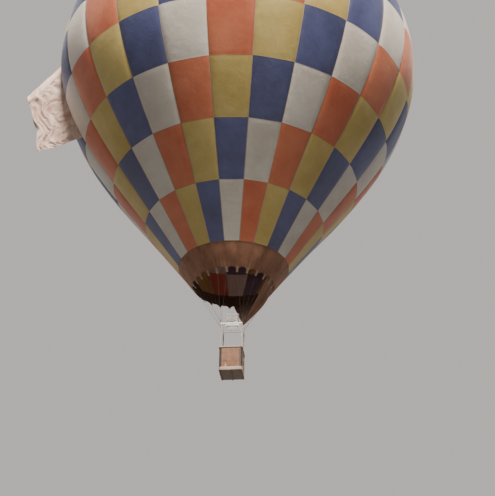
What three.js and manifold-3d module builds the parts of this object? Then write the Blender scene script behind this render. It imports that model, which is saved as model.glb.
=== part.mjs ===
// Hot air balloon: checkered envelope of 24 gores, parachute vent, mouth band with scoop,
// gimballed double burner, wicker basket and a hung banner.
// Millimetres, +Z up. The origin is the centre of the envelope's widest ring.
// An angle is turned from -Y towards +X, so angle 0 faces the viewer of a front elevation.
import * as THREE from 'three';
import { mergeVertices } from 'three/addons/utils/BufferGeometryUtils.js';
import Module from 'manifold-3d';

const wasm = await Module();
wasm.setup();

// Envelope
const GORES = 24;
const FIRST_SEAM = THREE.MathUtils.degToRad(-3);
const GORE_ANGLE = (2 * Math.PI) / GORES;
const FABRIC = 10;
const SEAM_GAP = 0.3;
const CONE_ANGLE = THREE.MathUtils.degToRad(37);
const SKIRT_RADIUS = 2730;
const CONE_TOP_RADIUS = 4870;
const PRESSURE_RISE = 1.548e-12;
const VENT_RADIUS = 2200;
const PANEL_HEIGHT = 2900;
const STEPS_PER_PANEL = 2;
const GORE_SHARES = [0, 0.12, 0.5, 0.88, 1];
const LOBE_DEPTH = 0.075;
const LOBE_FLANK = { part: 0.4, power: 10 };
const LOBE_RISE = 6000;
const LOBE_FALL = 3000;

// Parachute vent and crown
const VENT_OVERLAP = 450;
const CROWN_RING_RADIUS = 200;
const CROWN_RING_WIDTH = 30;
const CROWN_RING_HEIGHT = 24;
const TAPE_WIDTH = 40;
const TAPE = 5;
const VENT_RIM_WIDTH = 140;
const DOME_STEPS = [0.72, 0.4, 0.1];
const HUB_WIDTH = 90;

// Mouth band and scoop
const BAND_LENGTH = 1480;
const SCALLOP_DEPTH = 250;
const BAND_COLUMNS = 4;
const SCOOP_FIRST = 4.5;
const SCOOP_LAST = 12.5;
const SCOOP_LAP = 300;
const SCOOP_TIP = { x: 515, y: 40, below: 3115 };
const SCOOP_BILLOW = { seam: 6.5, depth: 220, reach: 0.2, spread: 1.3, power: 0.8 };
const SCOOP_STEPS = [0.12, 0.27, 0.45, 0.64, 0.82, 0.965];

// Burner and its frame, with heights below the top of the mouth band
const FRAME_BELOW = 3250;
const FRAME_WIDTH = 1040;
const FRAME_RAIL = 40;
const FRAME_CORNER = 70;
const CORNER_OFFSET = 495;
const BOSS_RADIUS = 38;
const BOSS_UP = 30;
const BOSS_DOWN = 55;
const WIRE_RADIUS = 3;
const WIRE_END_GAP = 0.9;
const SHACKLE_RADIUS = 20;
const SHACKLE_HEIGHT = 60;
const GIMBAL_LENGTH = 780;
const GIMBAL_WIDTH = 640;
const GIMBAL_BAR = 30;
const GIMBAL_CORNER = 60;
const PIN_RADIUS = 8;
const PIN_CLEARANCE = 1;
const PIN_DEPTH = 24;
const BURNER_SPACING = 320;
const BLOCK = { x: 120, y: 150, z: 230 };
const CAN_RADIUS = 145;
const CAN_HEIGHT = 480;
const CAN_WALL = 5;

// Basket
const RIM_BELOW = 4480;
const BASE_BELOW = 5740;
const BASKET_WIDTH = 1080;
const BASKET_DEPTH = 1120;
const WICKER = 30;
const RUNNER = { width: 60, height: 40 };
const FLOOR = 18;
const RIM = { width: 50, height: 72, bevel: 20 };
const HEM = { thickness: 10, height: 160 };
const STEP_HOLE = { width: 180, height: 120, low: 280, high: 660 };
const POST_RADIUS = 32;
const POST_FOOT = { x: 506, y: 526 };
const CYLINDER = { radius: 150, height: 790, x: 345, y: 370 };

// Banner: how far along the seam it is sewn, and its free corners in the seam's plane
const BANNER_SEAM = 19;
const BANNER_TOP = { radius: 11130, above: 9780 };
const BANNER_FOOT = { radius: 10230, above: 6250 };
const BANNER_ROWS = [9100, 10150, 11600, 13050, 14200];
const BANNER_COLUMNS = 6;
const BANNER_WAVE = 160;
const BANNER_SEAT = 2;

const MATERIALS = {
  white: { color: 0xd8cfc8, roughness: 0.75, metalness: 0 },
  orange: { color: 0xd07a55, roughness: 0.75, metalness: 0 },
  yellow: { color: 0xd2bb76, roughness: 0.75, metalness: 0 },
  blue: { color: 0x4c5682, roughness: 0.75, metalness: 0 },
  brown: { color: 0x6e4e3a, roughness: 0.9, metalness: 0 },
  webbing: { color: 0x8f8a80, roughness: 0.8, metalness: 0 },
  steel: { color: 0xc4c6c8, roughness: 0.35, metalness: 1 },
  bright: { color: 0xe6e7e8, roughness: 0.25, metalness: 1 },
  alloy: { color: 0xb3b6b9, roughness: 0.4, metalness: 1 },
  wicker: { color: 0xba9178, roughness: 0.8, metalness: 0 },
  timber: { color: 0x4b3a30, roughness: 0.85, metalness: 0 },
  hide: { color: 0xcbb39d, roughness: 0.7, metalness: 0 },
  pad: { color: 0xc9c4bb, roughness: 0.85, metalness: 0 },
  cloth: { color: 0xddd3cf, roughness: 0.85, metalness: 0 },
};
const GORE_COLOURS = ['white', 'orange', 'yellow', 'blue'];

const balloon = new THREE.Group();

function add(name, geometry, material) {
  const mesh = new THREE.Mesh(geometry, new THREE.MeshStandardMaterial(MATERIALS[material]));
  mesh.name = name;
  balloon.add(mesh);
  return mesh;
}

// Booleans
function positionsOnly(geometry) {
  const copy = geometry.index ? geometry.toNonIndexed() : geometry.clone();
  copy.deleteAttribute('normal');
  copy.deleteAttribute('uv');
  return mergeVertices(copy, 1e-3);
}

function solid(geometry) {
  const merged = positionsOnly(geometry);
  const vertProperties = new Float32Array(merged.attributes.position.array);
  const triVerts = new Uint32Array(merged.index.array);
  return new wasm.Manifold(new wasm.Mesh({ numProp: 3, vertProperties, triVerts }));
}

function geometryOf(manifold) {
  const mesh = manifold.getMesh();
  const geometry = new THREE.BufferGeometry();
  geometry.setAttribute('position', new THREE.BufferAttribute(new Float32Array(mesh.vertProperties), 3));
  geometry.setIndex(new THREE.BufferAttribute(new Uint32Array(mesh.triVerts), 1));
  return geometry;
}

function joined(geometries) {
  return geometries.map(solid).reduce((whole, next) => whole.add(next));
}

function cut(geometry, tools) {
  const start = Array.isArray(geometry) ? joined(geometry) : solid(geometry);
  return geometryOf(tools.map(solid).reduce((whole, tool) => whole.subtract(tool), start));
}

// Simple bodies
function box(x, y, z, at) {
  return new THREE.BoxGeometry(x, y, z).translate(at.x ?? 0, at.y ?? 0, at.z ?? 0);
}

function rod(from, to, radius, sides) {
  const along = new THREE.Vector3().subVectors(to, from);
  const geometry = new THREE.CylinderGeometry(radius, radius, along.length(), sides);
  const turn = new THREE.Quaternion().setFromUnitVectors(new THREE.Vector3(0, 1, 0), along.clone().normalize());
  const middle = new THREE.Vector3().addVectors(from, to).multiplyScalar(0.5);
  return geometry.applyQuaternion(turn).translate(middle.x, middle.y, middle.z);
}

// A post whose ends stay level although it leans
function leaningPost(foot, top, radius, sides) {
  const height = top.z - foot.z;
  const geometry = new THREE.CylinderGeometry(radius, radius, height, sides).rotateX(Math.PI / 2);
  const position = geometry.attributes.position;
  for (let i = 0; i < position.count; i += 1) {
    const share = position.getZ(i) / height + 0.5;
    const x = THREE.MathUtils.lerp(foot.x, top.x, share);
    const y = THREE.MathUtils.lerp(foot.y, top.y, share);
    position.setXYZ(i, position.getX(i) + x, position.getY(i) + y, foot.z + share * height);
  }
  return geometry;
}

function roundedRectangle(width, depth, corner) {
  const x = width / 2;
  const y = depth / 2;
  if (corner <= 0) {
    const corners = [[x, -y], [x, y], [-x, y], [-x, -y]];
    return new THREE.Shape(corners.map(([px, py]) => new THREE.Vector2(px, py)));
  }
  const shape = new THREE.Shape();
  shape.moveTo(x - corner, -y);
  shape.absarc(x - corner, corner - y, corner, -Math.PI / 2, 0, false);
  shape.absarc(x - corner, y - corner, corner, 0, Math.PI / 2, false);
  shape.absarc(corner - x, y - corner, corner, Math.PI / 2, Math.PI, false);
  shape.absarc(corner - x, corner - y, corner, Math.PI, 1.5 * Math.PI, false);
  shape.closePath();
  return shape;
}

// A level hoop of the given outer size and bar width, from height low upwards
function hoop(width, depth, bar, height, corner, low, bevel = 0) {
  const shape = roundedRectangle(width - 2 * bevel, depth - 2 * bevel, corner - bevel);
  const inside = roundedRectangle(
    width - 2 * bar + 2 * bevel,
    depth - 2 * bar + 2 * bevel,
    corner - bar + bevel,
  );
  shape.holes.push(inside);
  const options = { depth: height - 2 * bevel, curveSegments: 4, bevelEnabled: bevel > 0 };
  Object.assign(options, { bevelSize: bevel, bevelThickness: bevel, bevelSegments: 2 });
  return new THREE.ExtrudeGeometry(shape, options).translate(0, 0, low + bevel);
}

// A closed body between two grids of points, outer[row][column] and inner[row][column]. Both skins
// fold along the same diagonals, so the wall keeps its thickness where the sheet twists.
function sheetBody(outer, inner, loop = false) {
  const rows = outer.length;
  const columns = outer[0].length;
  const spans = loop ? columns : columns - 1;
  const faces = [];
  const id = (side, row, column) => side * rows * columns + row * columns + (column % columns);
  const quad = (a, b, c, d) => faces.push(a, b, c, a, c, d);
  for (let i = 0; i < rows - 1; i += 1) {
    for (let j = 0; j < spans; j += 1) {
      quad(id(0, i, j), id(0, i, j + 1), id(0, i + 1, j + 1), id(0, i + 1, j));
      quad(id(1, i, j), id(1, i + 1, j), id(1, i + 1, j + 1), id(1, i, j + 1));
    }
    if (!loop) {
      quad(id(0, i, 0), id(0, i + 1, 0), id(1, i + 1, 0), id(1, i, 0));
      quad(id(0, i + 1, spans), id(0, i, spans), id(1, i, spans), id(1, i + 1, spans));
    }
  }
  const last = rows - 1;
  for (let j = 0; j < spans; j += 1) {
    quad(id(0, 0, j + 1), id(0, 0, j), id(1, 0, j), id(1, 0, j + 1));
    quad(id(0, last, j), id(0, last, j + 1), id(1, last, j + 1), id(1, last, j));
  }
  const points = [...outer.flat(), ...inner.flat()];
  const geometry = new THREE.BufferGeometry().setFromPoints(points);
  geometry.setIndex(faces);
  return withoutFlatFaces(geometry);
}

// Rows that close to a point leave faces with two like corners, which are dropped
function withoutFlatFaces(geometry) {
  const merged = mergeVertices(geometry, 1e-3);
  const index = merged.index.array;
  const kept = [];
  for (let i = 0; i < index.length; i += 3) {
    const [a, b, c] = [index[i], index[i + 1], index[i + 2]];
    if (a !== b && b !== c && c !== a) {
      kept.push(a, b, c);
    }
  }
  merged.setIndex(kept);
  return merged;
}

// Meridian of the fabric at a load tape. Up to the cone's top it is straight. Above it the air's
// pressure grows with height, so it bends at a rate of height times radius times PRESSURE_RISE.
const STEP = 10;

function meridian() {
  const points = [];
  const coneTop = (CONE_TOP_RADIUS - SKIRT_RADIUS) / Math.sin(CONE_ANGLE);
  let radius = SKIRT_RADIUS;
  let height = 0;
  let lean = CONE_ANGLE;
  for (let s = 0; radius > VENT_RADIUS || lean > 0; s += STEP) {
    points.push({ s, radius, height, lean });
    const above = Math.max(height - coneTop * Math.cos(CONE_ANGLE), 0);
    lean -= STEP * PRESSURE_RISE * above * radius;
    radius += STEP * Math.sin(lean);
    height += STEP * Math.cos(lean);
  }
  return points;
}

const MERIDIAN = meridian();
const WIDEST = MERIDIAN.reduce((best, point) => (point.radius > best.radius ? point : best));
const VENT_EDGE = MERIDIAN[MERIDIAN.length - 1].s;
const SKIRT_Z = -WIDEST.height;
const FULL_ROWS = Math.floor(VENT_EDGE / PANEL_HEIGHT);
const GORE_ROWS = Array.from(
  { length: FULL_ROWS * STEPS_PER_PANEL + 1 },
  (_, i) => (i * PANEL_HEIGHT) / STEPS_PER_PANEL,
);
GORE_ROWS.push(VENT_EDGE - VENT_OVERLAP, VENT_EDGE);

// Radius, height and lean of the tape at arc length s above the band; the band's cone is below 0
function tapeAt(s) {
  if (s < 0) {
    const radius = SKIRT_RADIUS + s * Math.sin(CONE_ANGLE);
    return { radius, z: SKIRT_Z + s * Math.cos(CONE_ANGLE), lean: CONE_ANGLE };
  }
  const point = MERIDIAN[Math.min(Math.round(s / STEP), MERIDIAN.length - 1)];
  return { radius: point.radius, z: SKIRT_Z + point.height, lean: point.lean };
}

// The same on the straight chords between a gore's rows
function chordAt(s) {
  const above = GORE_ROWS.findIndex((row) => row >= s);
  const high = Math.max(above, 1);
  const [from, to] = [tapeAt(GORE_ROWS[high - 1]), tapeAt(GORE_ROWS[high])];
  const share = (s - GORE_ROWS[high - 1]) / (GORE_ROWS[high] - GORE_ROWS[high - 1]);
  return {
    radius: THREE.MathUtils.lerp(from.radius, to.radius, share),
    z: THREE.MathUtils.lerp(from.z, to.z, share),
    lean: Math.atan2(to.radius - from.radius, to.z - from.z),
  };
}

function seamAngle(seam) {
  return FIRST_SEAM + seam * GORE_ANGLE;
}

function polar(angle, radius, z) {
  return new THREE.Vector3(radius * Math.sin(angle), -radius * Math.cos(angle), z);
}

function outward(angle, lean) {
  return polar(angle, Math.cos(lean), -Math.sin(lean));
}

function smooth(share) {
  return THREE.MathUtils.smoothstep(share, 0, 1);
}

// How far the middle of a gore stands out of the chord between its two tapes
function lobeAt(s) {
  const chord = 2 * tapeAt(s).radius * Math.sin(GORE_ANGLE / 2);
  const toVent = VENT_EDGE - VENT_OVERLAP - s;
  return LOBE_DEPTH * chord * smooth(s / LOBE_RISE) * smooth(toVent / LOBE_FALL);
}

// The lobe across a gore, from 0 at the tapes to 1 in the middle: an arc with steeper flanks
function lobeShape(u) {
  const flank = 1 - Math.abs(2 * u - 1) ** LOBE_FLANK.power;
  return THREE.MathUtils.lerp(4 * u * (1 - u), flank, LOBE_FLANK.part);
}

// A point of the gore that starts at this seam, at share u across it
function fabricPoint(seam, u, s, depth = 0) {
  const { radius, z, lean } = tapeAt(s);
  const from = polar(seamAngle(seam), radius, z);
  const point = from.lerp(polar(seamAngle(seam + 1), radius, z), u);
  const lobe = s > 0 ? lobeAt(s) * lobeShape(u) : 0;
  point.addScaledVector(outward(seamAngle(seam + 0.5), lean), lobe);
  return point.addScaledVector(outward(seamAngle(seam + u), lean), -depth);
}

function gore(seam) {
  const grid = (depth) => GORE_ROWS.map((s) => GORE_SHARES.map((u) => {
    const point = fabricPoint(seam, u, s, depth);
    const shift = (0.5 - u) * SEAM_GAP;
    return point.add(polar(seamAngle(seam + u) + Math.PI / 2, shift, 0));
  }));
  return sheetBody(grid(0), grid(FABRIC));
}

for (let seam = 0; seam < GORES; seam += 1) {
  const name = `gore_${String(seam + 1).padStart(2, '0')}`;
  add(name, gore(seam), GORE_COLOURS[seam % GORE_COLOURS.length]);
}

// Parachute vent: a shallow dome whose rim lies under the gores' upper ends
const ventEdge = chordAt(VENT_EDGE);
const domeRise = (-ventEdge.radius / Math.tan(ventEdge.lean)) / 2;

function domeHeight(share) {
  return ventEdge.z + domeRise * (1 - share * share);
}

// A point of the gores' upper ends, raised by lift square to them
function nearVent(s, lift) {
  const chord = chordAt(s);
  return {
    radius: chord.radius + Math.cos(chord.lean) * lift,
    z: chord.z - Math.sin(chord.lean) * lift,
  };
}

function onDome(share, lift) {
  return { radius: share * ventEdge.radius, z: domeHeight(share) + lift };
}

function ringOf(point) {
  return Array.from({ length: GORES }, (_, seam) => polar(seamAngle(seam), point.radius, point.z));
}

function ventPanel() {
  const skin = (lift) => [
    nearVent(VENT_EDGE - VENT_OVERLAP, lift),
    nearVent(VENT_EDGE, lift),
    ...DOME_STEPS.map((share) => onDome(share, lift)),
    onDome(0, lift),
  ].map(ringOf);
  const top = -FABRIC - SEAM_GAP;
  return sheetBody(skin(top), skin(top - FABRIC), true);
}

add('vent_panel', ventPanel(), 'white');

// Crown web: the load tapes over the vent, sewn to a rim tape and to the hub at the crown ring
function spoke(seam, profile) {
  const along = polar(seamAngle(seam) + Math.PI / 2, 1, 0);
  const row = (point, side, lift) => polar(seamAngle(seam), point.radius, point.z + lift)
    .addScaledVector(along, (side * TAPE_WIDTH) / 2);
  const grid = (lift) => profile.map((point) => [-1, 1].map((side) => row(point, side, lift)));
  return sheetBody(grid(TAPE), grid(0));
}

const HUB_LOW = onDome(DOME_STEPS[DOME_STEPS.length - 1], SEAM_GAP).z;
const HUB_TOP = HUB_LOW + 2 * TAPE;

function squareRing(radius, width, height, low) {
  const profile = [[-1, 0], [1, 0], [1, 1], [-1, 1], [-1, 0]].map(([side, up]) => (
    new THREE.Vector2(radius + (side * width) / 2, up * height)
  ));
  return new THREE.LatheGeometry(profile, GORES).rotateX(Math.PI / 2).translate(0, 0, low);
}

function crownWeb() {
  const rim = (lift) => [
    nearVent(VENT_EDGE - VENT_RIM_WIDTH, SEAM_GAP + lift),
    nearVent(VENT_EDGE, SEAM_GAP + lift),
  ].map(ringOf);
  const route = [
    nearVent(VENT_EDGE - VENT_RIM_WIDTH / 2, SEAM_GAP),
    nearVent(VENT_EDGE, SEAM_GAP),
    ...DOME_STEPS.map((share) => onDome(share, SEAM_GAP)),
  ];
  const pieces = [sheetBody(rim(TAPE), rim(0), true)];
  for (let seam = 0; seam < GORES; seam += 1) {
    pieces.push(spoke(seam, route));
  }
  pieces.push(squareRing(DOME_STEPS[DOME_STEPS.length - 1] * ventEdge.radius, HUB_WIDTH, 2 * TAPE, HUB_LOW));
  return geometryOf(joined(pieces));
}

add('crown_web', crownWeb(), 'webbing');

const crownRing = squareRing(CROWN_RING_RADIUS, CROWN_RING_WIDTH, CROWN_RING_HEIGHT, HUB_TOP + SEAM_GAP);
add('crown_ring', crownRing, 'alloy');

// Mouth band: straight cone with a tab at each tape and a scallop between
function bandFoot(u) {
  return -BAND_LENGTH + SCALLOP_DEPTH * 4 * u * (1 - u);
}

function mouthBand() {
  const grid = (depth) => [0, 0.5, 1].map((share) => {
    const row = [];
    for (let column = 0; column < GORES * BAND_COLUMNS; column += 1) {
      const seam = Math.floor(column / BAND_COLUMNS);
      const u = (column % BAND_COLUMNS) / BAND_COLUMNS;
      const s = THREE.MathUtils.lerp(bandFoot(u), -SEAM_GAP, share);
      row.push(fabricPoint(seam, u, s, depth));
    }
    return row;
  });
  return sheetBody(grid(0), grid(FABRIC), true);
}

add('mouth_band', mouthBand(), 'brown');

// Burner frame's place, and the wires: six from each corner of the frame to the band's tabs
const FRAME_Z = SKIRT_Z - FRAME_BELOW;
const FRAME_TOP = FRAME_Z + FRAME_RAIL / 2;
const SHACKLE_FOOT = FRAME_Z + BOSS_UP + SEAM_GAP;
const WIRE_FOOT = SHACKLE_FOOT + SHACKLE_HEIGHT - SHACKLE_RADIUS / 2;
const CORNERS = [
  { name: 'front_right', x: 1, y: -1 },
  { name: 'back_right', x: 1, y: 1 },
  { name: 'back_left', x: -1, y: 1 },
  { name: 'front_left', x: -1, y: -1 },
];
const WIRES = GORES / CORNERS.length;

// Scoop: inside the band's foot and the wires, drawn to a tip above the frame's right rail. The air
// billows it out between the two wires of its middle, which part on their way down.
function scoopSwell(seam, share) {
  const half = SCOOP_BILLOW.reach + SCOOP_BILLOW.spread * share;
  const across = Math.max(0, 1 - ((seam - SCOOP_BILLOW.seam) / half) ** 2);
  return SCOOP_BILLOW.depth * Math.sin(Math.PI * share ** SCOOP_BILLOW.power) * across;
}

function scoop() {
  const tip = new THREE.Vector3(SCOOP_TIP.x, SCOOP_TIP.y, SKIRT_Z - SCOOP_TIP.below);
  const columns = [];
  for (let seam = SCOOP_FIRST; seam <= SCOOP_LAST; seam += 0.5) {
    columns.push(seam);
  }
  const inset = FABRIC + 2 * SEAM_GAP;
  const grid = (depth) => {
    const onBand = (seam, s) => {
      const gap = Math.floor(seam);
      return fabricPoint(gap, seam - gap, s, inset + depth);
    };
    const hanging = (seam, share) => {
      const angle = seamAngle(seam);
      const end = tip.clone().addScaledVector(outward(angle, CONE_ANGLE), -depth);
      return onBand(seam, -BAND_LENGTH).lerp(end, share).add(polar(angle, scoopSwell(seam, share), 0));
    };
    const foot = SCOOP_STEPS.map((share) => columns.map((seam) => hanging(seam, share))).reverse();
    const laid = [-BAND_LENGTH, SCOOP_LAP - BAND_LENGTH].map((s) => columns.map((seam) => onBand(seam, s)));
    return [...foot, ...laid];
  };
  return sheetBody(grid(0), grid(FABRIC));
}

add('scoop', scoop(), 'brown');

// Burner frame with a boss at each corner
function pinHoles(axis, reach) {
  const radius = PIN_RADIUS + PIN_CLEARANCE;
  const end = new THREE.Vector3().setComponent(axis, reach).setZ(FRAME_Z);
  const start = new THREE.Vector3().setComponent(axis, -reach).setZ(FRAME_Z);
  return rod(start, end, radius, 16);
}

function burnerFrame() {
  const rails = hoop(FRAME_WIDTH, FRAME_WIDTH, FRAME_RAIL, FRAME_RAIL, FRAME_CORNER, FRAME_Z - FRAME_RAIL / 2);
  const bosses = CORNERS.map(({ x, y }) => rod(
    new THREE.Vector3(x * CORNER_OFFSET, y * CORNER_OFFSET, FRAME_Z - BOSS_DOWN),
    new THREE.Vector3(x * CORNER_OFFSET, y * CORNER_OFFSET, FRAME_Z + BOSS_UP),
    BOSS_RADIUS,
    12,
  ));
  return cut([rails, ...bosses], [pinHoles(0, FRAME_WIDTH)]);
}

add('burner_frame', burnerFrame(), 'steel');

CORNERS.forEach(({ name, x, y }, corner) => {
  const foot = new THREE.Vector3(x * CORNER_OFFSET, y * CORNER_OFFSET, SHACKLE_FOOT);
  const head = foot.clone().setZ(SHACKLE_FOOT + SHACKLE_HEIGHT);
  const pieces = [rod(foot, head, SHACKLE_RADIUS, 10)];
  for (let seam = corner * WIRES + 1; seam <= (corner + 1) * WIRES; seam += 1) {
    const tab = fabricPoint(seam, 0, -BAND_LENGTH, FABRIC / 2);
    const start = foot.clone().setZ(WIRE_FOOT);
    const back = new THREE.Vector3().subVectors(start, tab).normalize();
    pieces.push(rod(start, tab.addScaledVector(back, WIRE_END_GAP), WIRE_RADIUS, 6));
  }
  add(`wires_${name}`, geometryOf(joined(pieces)), 'steel');
});

// Gimbal: the ring tilts about X in the frame, and the burner tilts about Y in the ring
function gimbalRing() {
  const ring = hoop(GIMBAL_LENGTH, GIMBAL_WIDTH, GIMBAL_BAR, GIMBAL_BAR, GIMBAL_CORNER, FRAME_Z - GIMBAL_BAR / 2);
  const inner = GIMBAL_LENGTH / 2 - GIMBAL_BAR / 2;
  const outer = FRAME_WIDTH / 2 - FRAME_RAIL + PIN_DEPTH;
  const pins = [-1, 1].map((side) => rod(
    new THREE.Vector3(side * inner, 0, FRAME_Z),
    new THREE.Vector3(side * outer, 0, FRAME_Z),
    PIN_RADIUS,
    16,
  ));
  return cut([ring, ...pins], [pinHoles(1, GIMBAL_WIDTH)]);
}

add('gimbal_ring', gimbalRing(), 'steel');

function burnerCross() {
  const innerHalf = GIMBAL_WIDTH / 2 - GIMBAL_BAR;
  const bar = box(GIMBAL_BAR, 2 * innerHalf - 20, GIMBAL_BAR, { z: FRAME_Z });
  const arm = box(BURNER_SPACING + BLOCK.x, BLOCK.y / 2, GIMBAL_BAR, { z: FRAME_Z });
  const reach = innerHalf + PIN_DEPTH;
  const pin = rod(new THREE.Vector3(0, -reach, FRAME_Z), new THREE.Vector3(0, reach, FRAME_Z), PIN_RADIUS, 16);
  return geometryOf(joined([bar, arm, pin]));
}

add('burner_cross', burnerCross(), 'steel');

const BLOCK_FOOT = FRAME_Z + GIMBAL_BAR / 2 + SEAM_GAP;
const CAN_FOOT = BLOCK_FOOT + BLOCK.z + SEAM_GAP;
const canProfile = [
  [0, 0],
  [CAN_RADIUS, 0],
  [CAN_RADIUS, CAN_HEIGHT],
  [CAN_RADIUS - CAN_WALL, CAN_HEIGHT],
  [CAN_RADIUS - CAN_WALL, CAN_WALL],
  [0, CAN_WALL],
].map(([radius, height]) => new THREE.Vector2(radius, height));

for (const side of [{ name: 'left', x: -1 }, { name: 'right', x: 1 }]) {
  const x = (side.x * BURNER_SPACING) / 2;
  const block = box(BLOCK.x, BLOCK.y, BLOCK.z, { x, z: BLOCK_FOOT + BLOCK.z / 2 });
  add(`burner_block_${side.name}`, block, 'bright');
  const can = new THREE.LatheGeometry(canProfile, 20).rotateX(Math.PI / 2);
  add(`burner_can_${side.name}`, can.translate(x, 0, CAN_FOOT), 'bright');
}

// Basket
const RIM_TOP = SKIRT_Z - RIM_BELOW;
const BASE_Z = SKIRT_Z - BASE_BELOW;
const FLOOR_TOP = BASE_Z + RUNNER.height + FLOOR;
const WALL_LOW = FLOOR_TOP + SEAM_GAP;
const WALL_HIGH = RIM_TOP - RIM.height - SEAM_GAP;

for (const { name, x, y } of CORNERS) {
  const foot = { x: x * POST_FOOT.x, y: y * POST_FOOT.y, z: RIM_TOP + SEAM_GAP };
  const top = { x: x * CORNER_OFFSET, y: y * CORNER_OFFSET, z: FRAME_Z - BOSS_DOWN - SEAM_GAP };
  add(`upright_${name}`, leaningPost(foot, top, POST_RADIUS, 12), 'pad');
}

function basketFloor() {
  const plate = box(BASKET_WIDTH, BASKET_DEPTH, FLOOR, { z: FLOOR_TOP - FLOOR / 2 });
  const runners = [-1, 0, 1].map((side) => box(RUNNER.width, BASKET_DEPTH, RUNNER.height + 2, {
    x: (side * (BASKET_WIDTH - RUNNER.width)) / 2,
    z: BASE_Z + RUNNER.height / 2 + 1,
  }));
  return geometryOf(joined([plate, ...runners]));
}

add('basket_floor', basketFloor(), 'timber');

const WALL_HEIGHT = WALL_HIGH - WALL_LOW;
const WALL_Z = (WALL_HIGH + WALL_LOW) / 2;
for (const side of [{ name: 'front', y: -1 }, { name: 'back', y: 1 }]) {
  const y = (side.y * (BASKET_DEPTH - WICKER)) / 2;
  add(`wicker_${side.name}`, box(BASKET_WIDTH, WICKER, WALL_HEIGHT, { y, z: WALL_Z }), 'wicker');
}
for (const side of [{ name: 'left', x: -1 }, { name: 'right', x: 1 }]) {
  const x = (side.x * (BASKET_WIDTH - WICKER)) / 2;
  const depth = BASKET_DEPTH - 2 * WICKER - 2 * SEAM_GAP;
  const holes = [STEP_HOLE.low, STEP_HOLE.high].map((height) => box(
    2 * WICKER,
    STEP_HOLE.width,
    STEP_HOLE.height,
    { x, z: FLOOR_TOP + height + STEP_HOLE.height / 2 },
  ));
  const wall = box(WICKER, depth, WALL_HEIGHT, { x, z: WALL_Z });
  add(`wicker_${side.name}`, cut(wall, holes), 'wicker');
}

const RIM_OVERHANG = 26;
const rim = hoop(
  BASKET_WIDTH + 2 * RIM_OVERHANG,
  BASKET_DEPTH + 2 * RIM_OVERHANG,
  RIM.width + 2 * RIM.bevel,
  RIM.height,
  90,
  RIM_TOP - RIM.height,
  RIM.bevel,
);
add('basket_rim', rim, 'hide');

const hem = hoop(
  BASKET_WIDTH + 2 * (HEM.thickness + SEAM_GAP),
  BASKET_DEPTH + 2 * (HEM.thickness + SEAM_GAP),
  HEM.thickness,
  HEM.height,
  0,
  BASE_Z + RUNNER.height,
);
add('basket_hem', hem, 'hide');

const cylinderProfile = [
  [0, 0],
  [CYLINDER.radius - 50, 0],
  [CYLINDER.radius - 12, 28],
  [CYLINDER.radius, 80],
  [CYLINDER.radius, CYLINDER.height - 180],
  [CYLINDER.radius - 20, CYLINDER.height - 120],
  [90, CYLINDER.height - 80],
  [90, CYLINDER.height],
  [0, CYLINDER.height],
].map(([radius, height]) => new THREE.Vector2(radius, height));
for (const side of [{ name: 'left', x: -1 }, { name: 'right', x: 1 }]) {
  const geometry = new THREE.LatheGeometry(cylinderProfile, 18).rotateX(Math.PI / 2);
  geometry.translate(side.x * CYLINDER.x, CYLINDER.y, FLOOR_TOP + SEAM_GAP);
  add(`fuel_cylinder_${side.name}`, geometry, 'alloy');
}

// Banner: a sheet sewn along one load tape, hanging out and down from it in slow waves
function banner() {
  const angle = seamAngle(BANNER_SEAM);
  const side = polar(angle + Math.PI / 2, 1, 0);
  const rows = BANNER_ROWS.length - 1;
  const grid = (offset) => BANNER_ROWS.map((s, row) => {
    const edge = chordAt(s);
    const up = row / rows;
    const seat = outward(0, edge.lean);
    const sewn = polar(angle, edge.radius - seat.y * BANNER_SEAT, edge.z + seat.z * BANNER_SEAT);
    const freeRadius = THREE.MathUtils.lerp(BANNER_FOOT.radius, BANNER_TOP.radius, up);
    const freeZ = SKIRT_Z + THREE.MathUtils.lerp(BANNER_FOOT.above, BANNER_TOP.above, up);
    const free = polar(angle, freeRadius, freeZ);
    return Array.from({ length: BANNER_COLUMNS }, (_, column) => {
      const out = column / (BANNER_COLUMNS - 1);
      const wave = BANNER_WAVE * out * Math.sin(2 * Math.PI * (0.9 * up + 0.55 * out));
      return sewn.clone().lerp(free, out).addScaledVector(side, wave + offset);
    });
  });
  return sheetBody(grid(-FABRIC / 2), grid(FABRIC / 2));
}

add('banner', banner(), 'cloth');

export default balloon;
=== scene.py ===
"""The looks of a hot air balloon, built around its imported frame.

Metres, +Z up. The origin is the centre of the envelope's widest ring. An angle is turned from -Y
towards +X, so angle 0 faces the viewer of a front elevation. Along the envelope, s is the length
of a load tape from the top of the mouth band, and a gore's u runs from 0 at one tape to 1 at the
next.
"""

import logging
import math
from collections.abc import Sequence
from dataclasses import dataclass
from enum import Enum
from typing import Any

import bpy
import numpy as np
from mathutils import Matrix, Vector


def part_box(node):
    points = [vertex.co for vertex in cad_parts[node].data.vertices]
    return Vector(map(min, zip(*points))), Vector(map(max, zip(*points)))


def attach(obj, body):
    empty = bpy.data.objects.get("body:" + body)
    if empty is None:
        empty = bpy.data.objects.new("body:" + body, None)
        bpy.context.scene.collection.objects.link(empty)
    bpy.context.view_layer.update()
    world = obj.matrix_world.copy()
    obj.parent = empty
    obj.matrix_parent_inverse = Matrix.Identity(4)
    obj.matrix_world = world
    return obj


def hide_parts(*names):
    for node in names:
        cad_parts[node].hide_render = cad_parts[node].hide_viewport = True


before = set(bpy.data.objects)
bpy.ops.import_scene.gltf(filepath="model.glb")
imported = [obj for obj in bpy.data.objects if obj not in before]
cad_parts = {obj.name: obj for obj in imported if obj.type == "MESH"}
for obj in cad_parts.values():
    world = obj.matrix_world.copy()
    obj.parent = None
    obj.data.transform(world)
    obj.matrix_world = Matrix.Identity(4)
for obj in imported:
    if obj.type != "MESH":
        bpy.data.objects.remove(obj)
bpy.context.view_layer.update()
ACROSS, BACK, UP = np.eye(3)
TURN = 2 * math.pi
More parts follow.
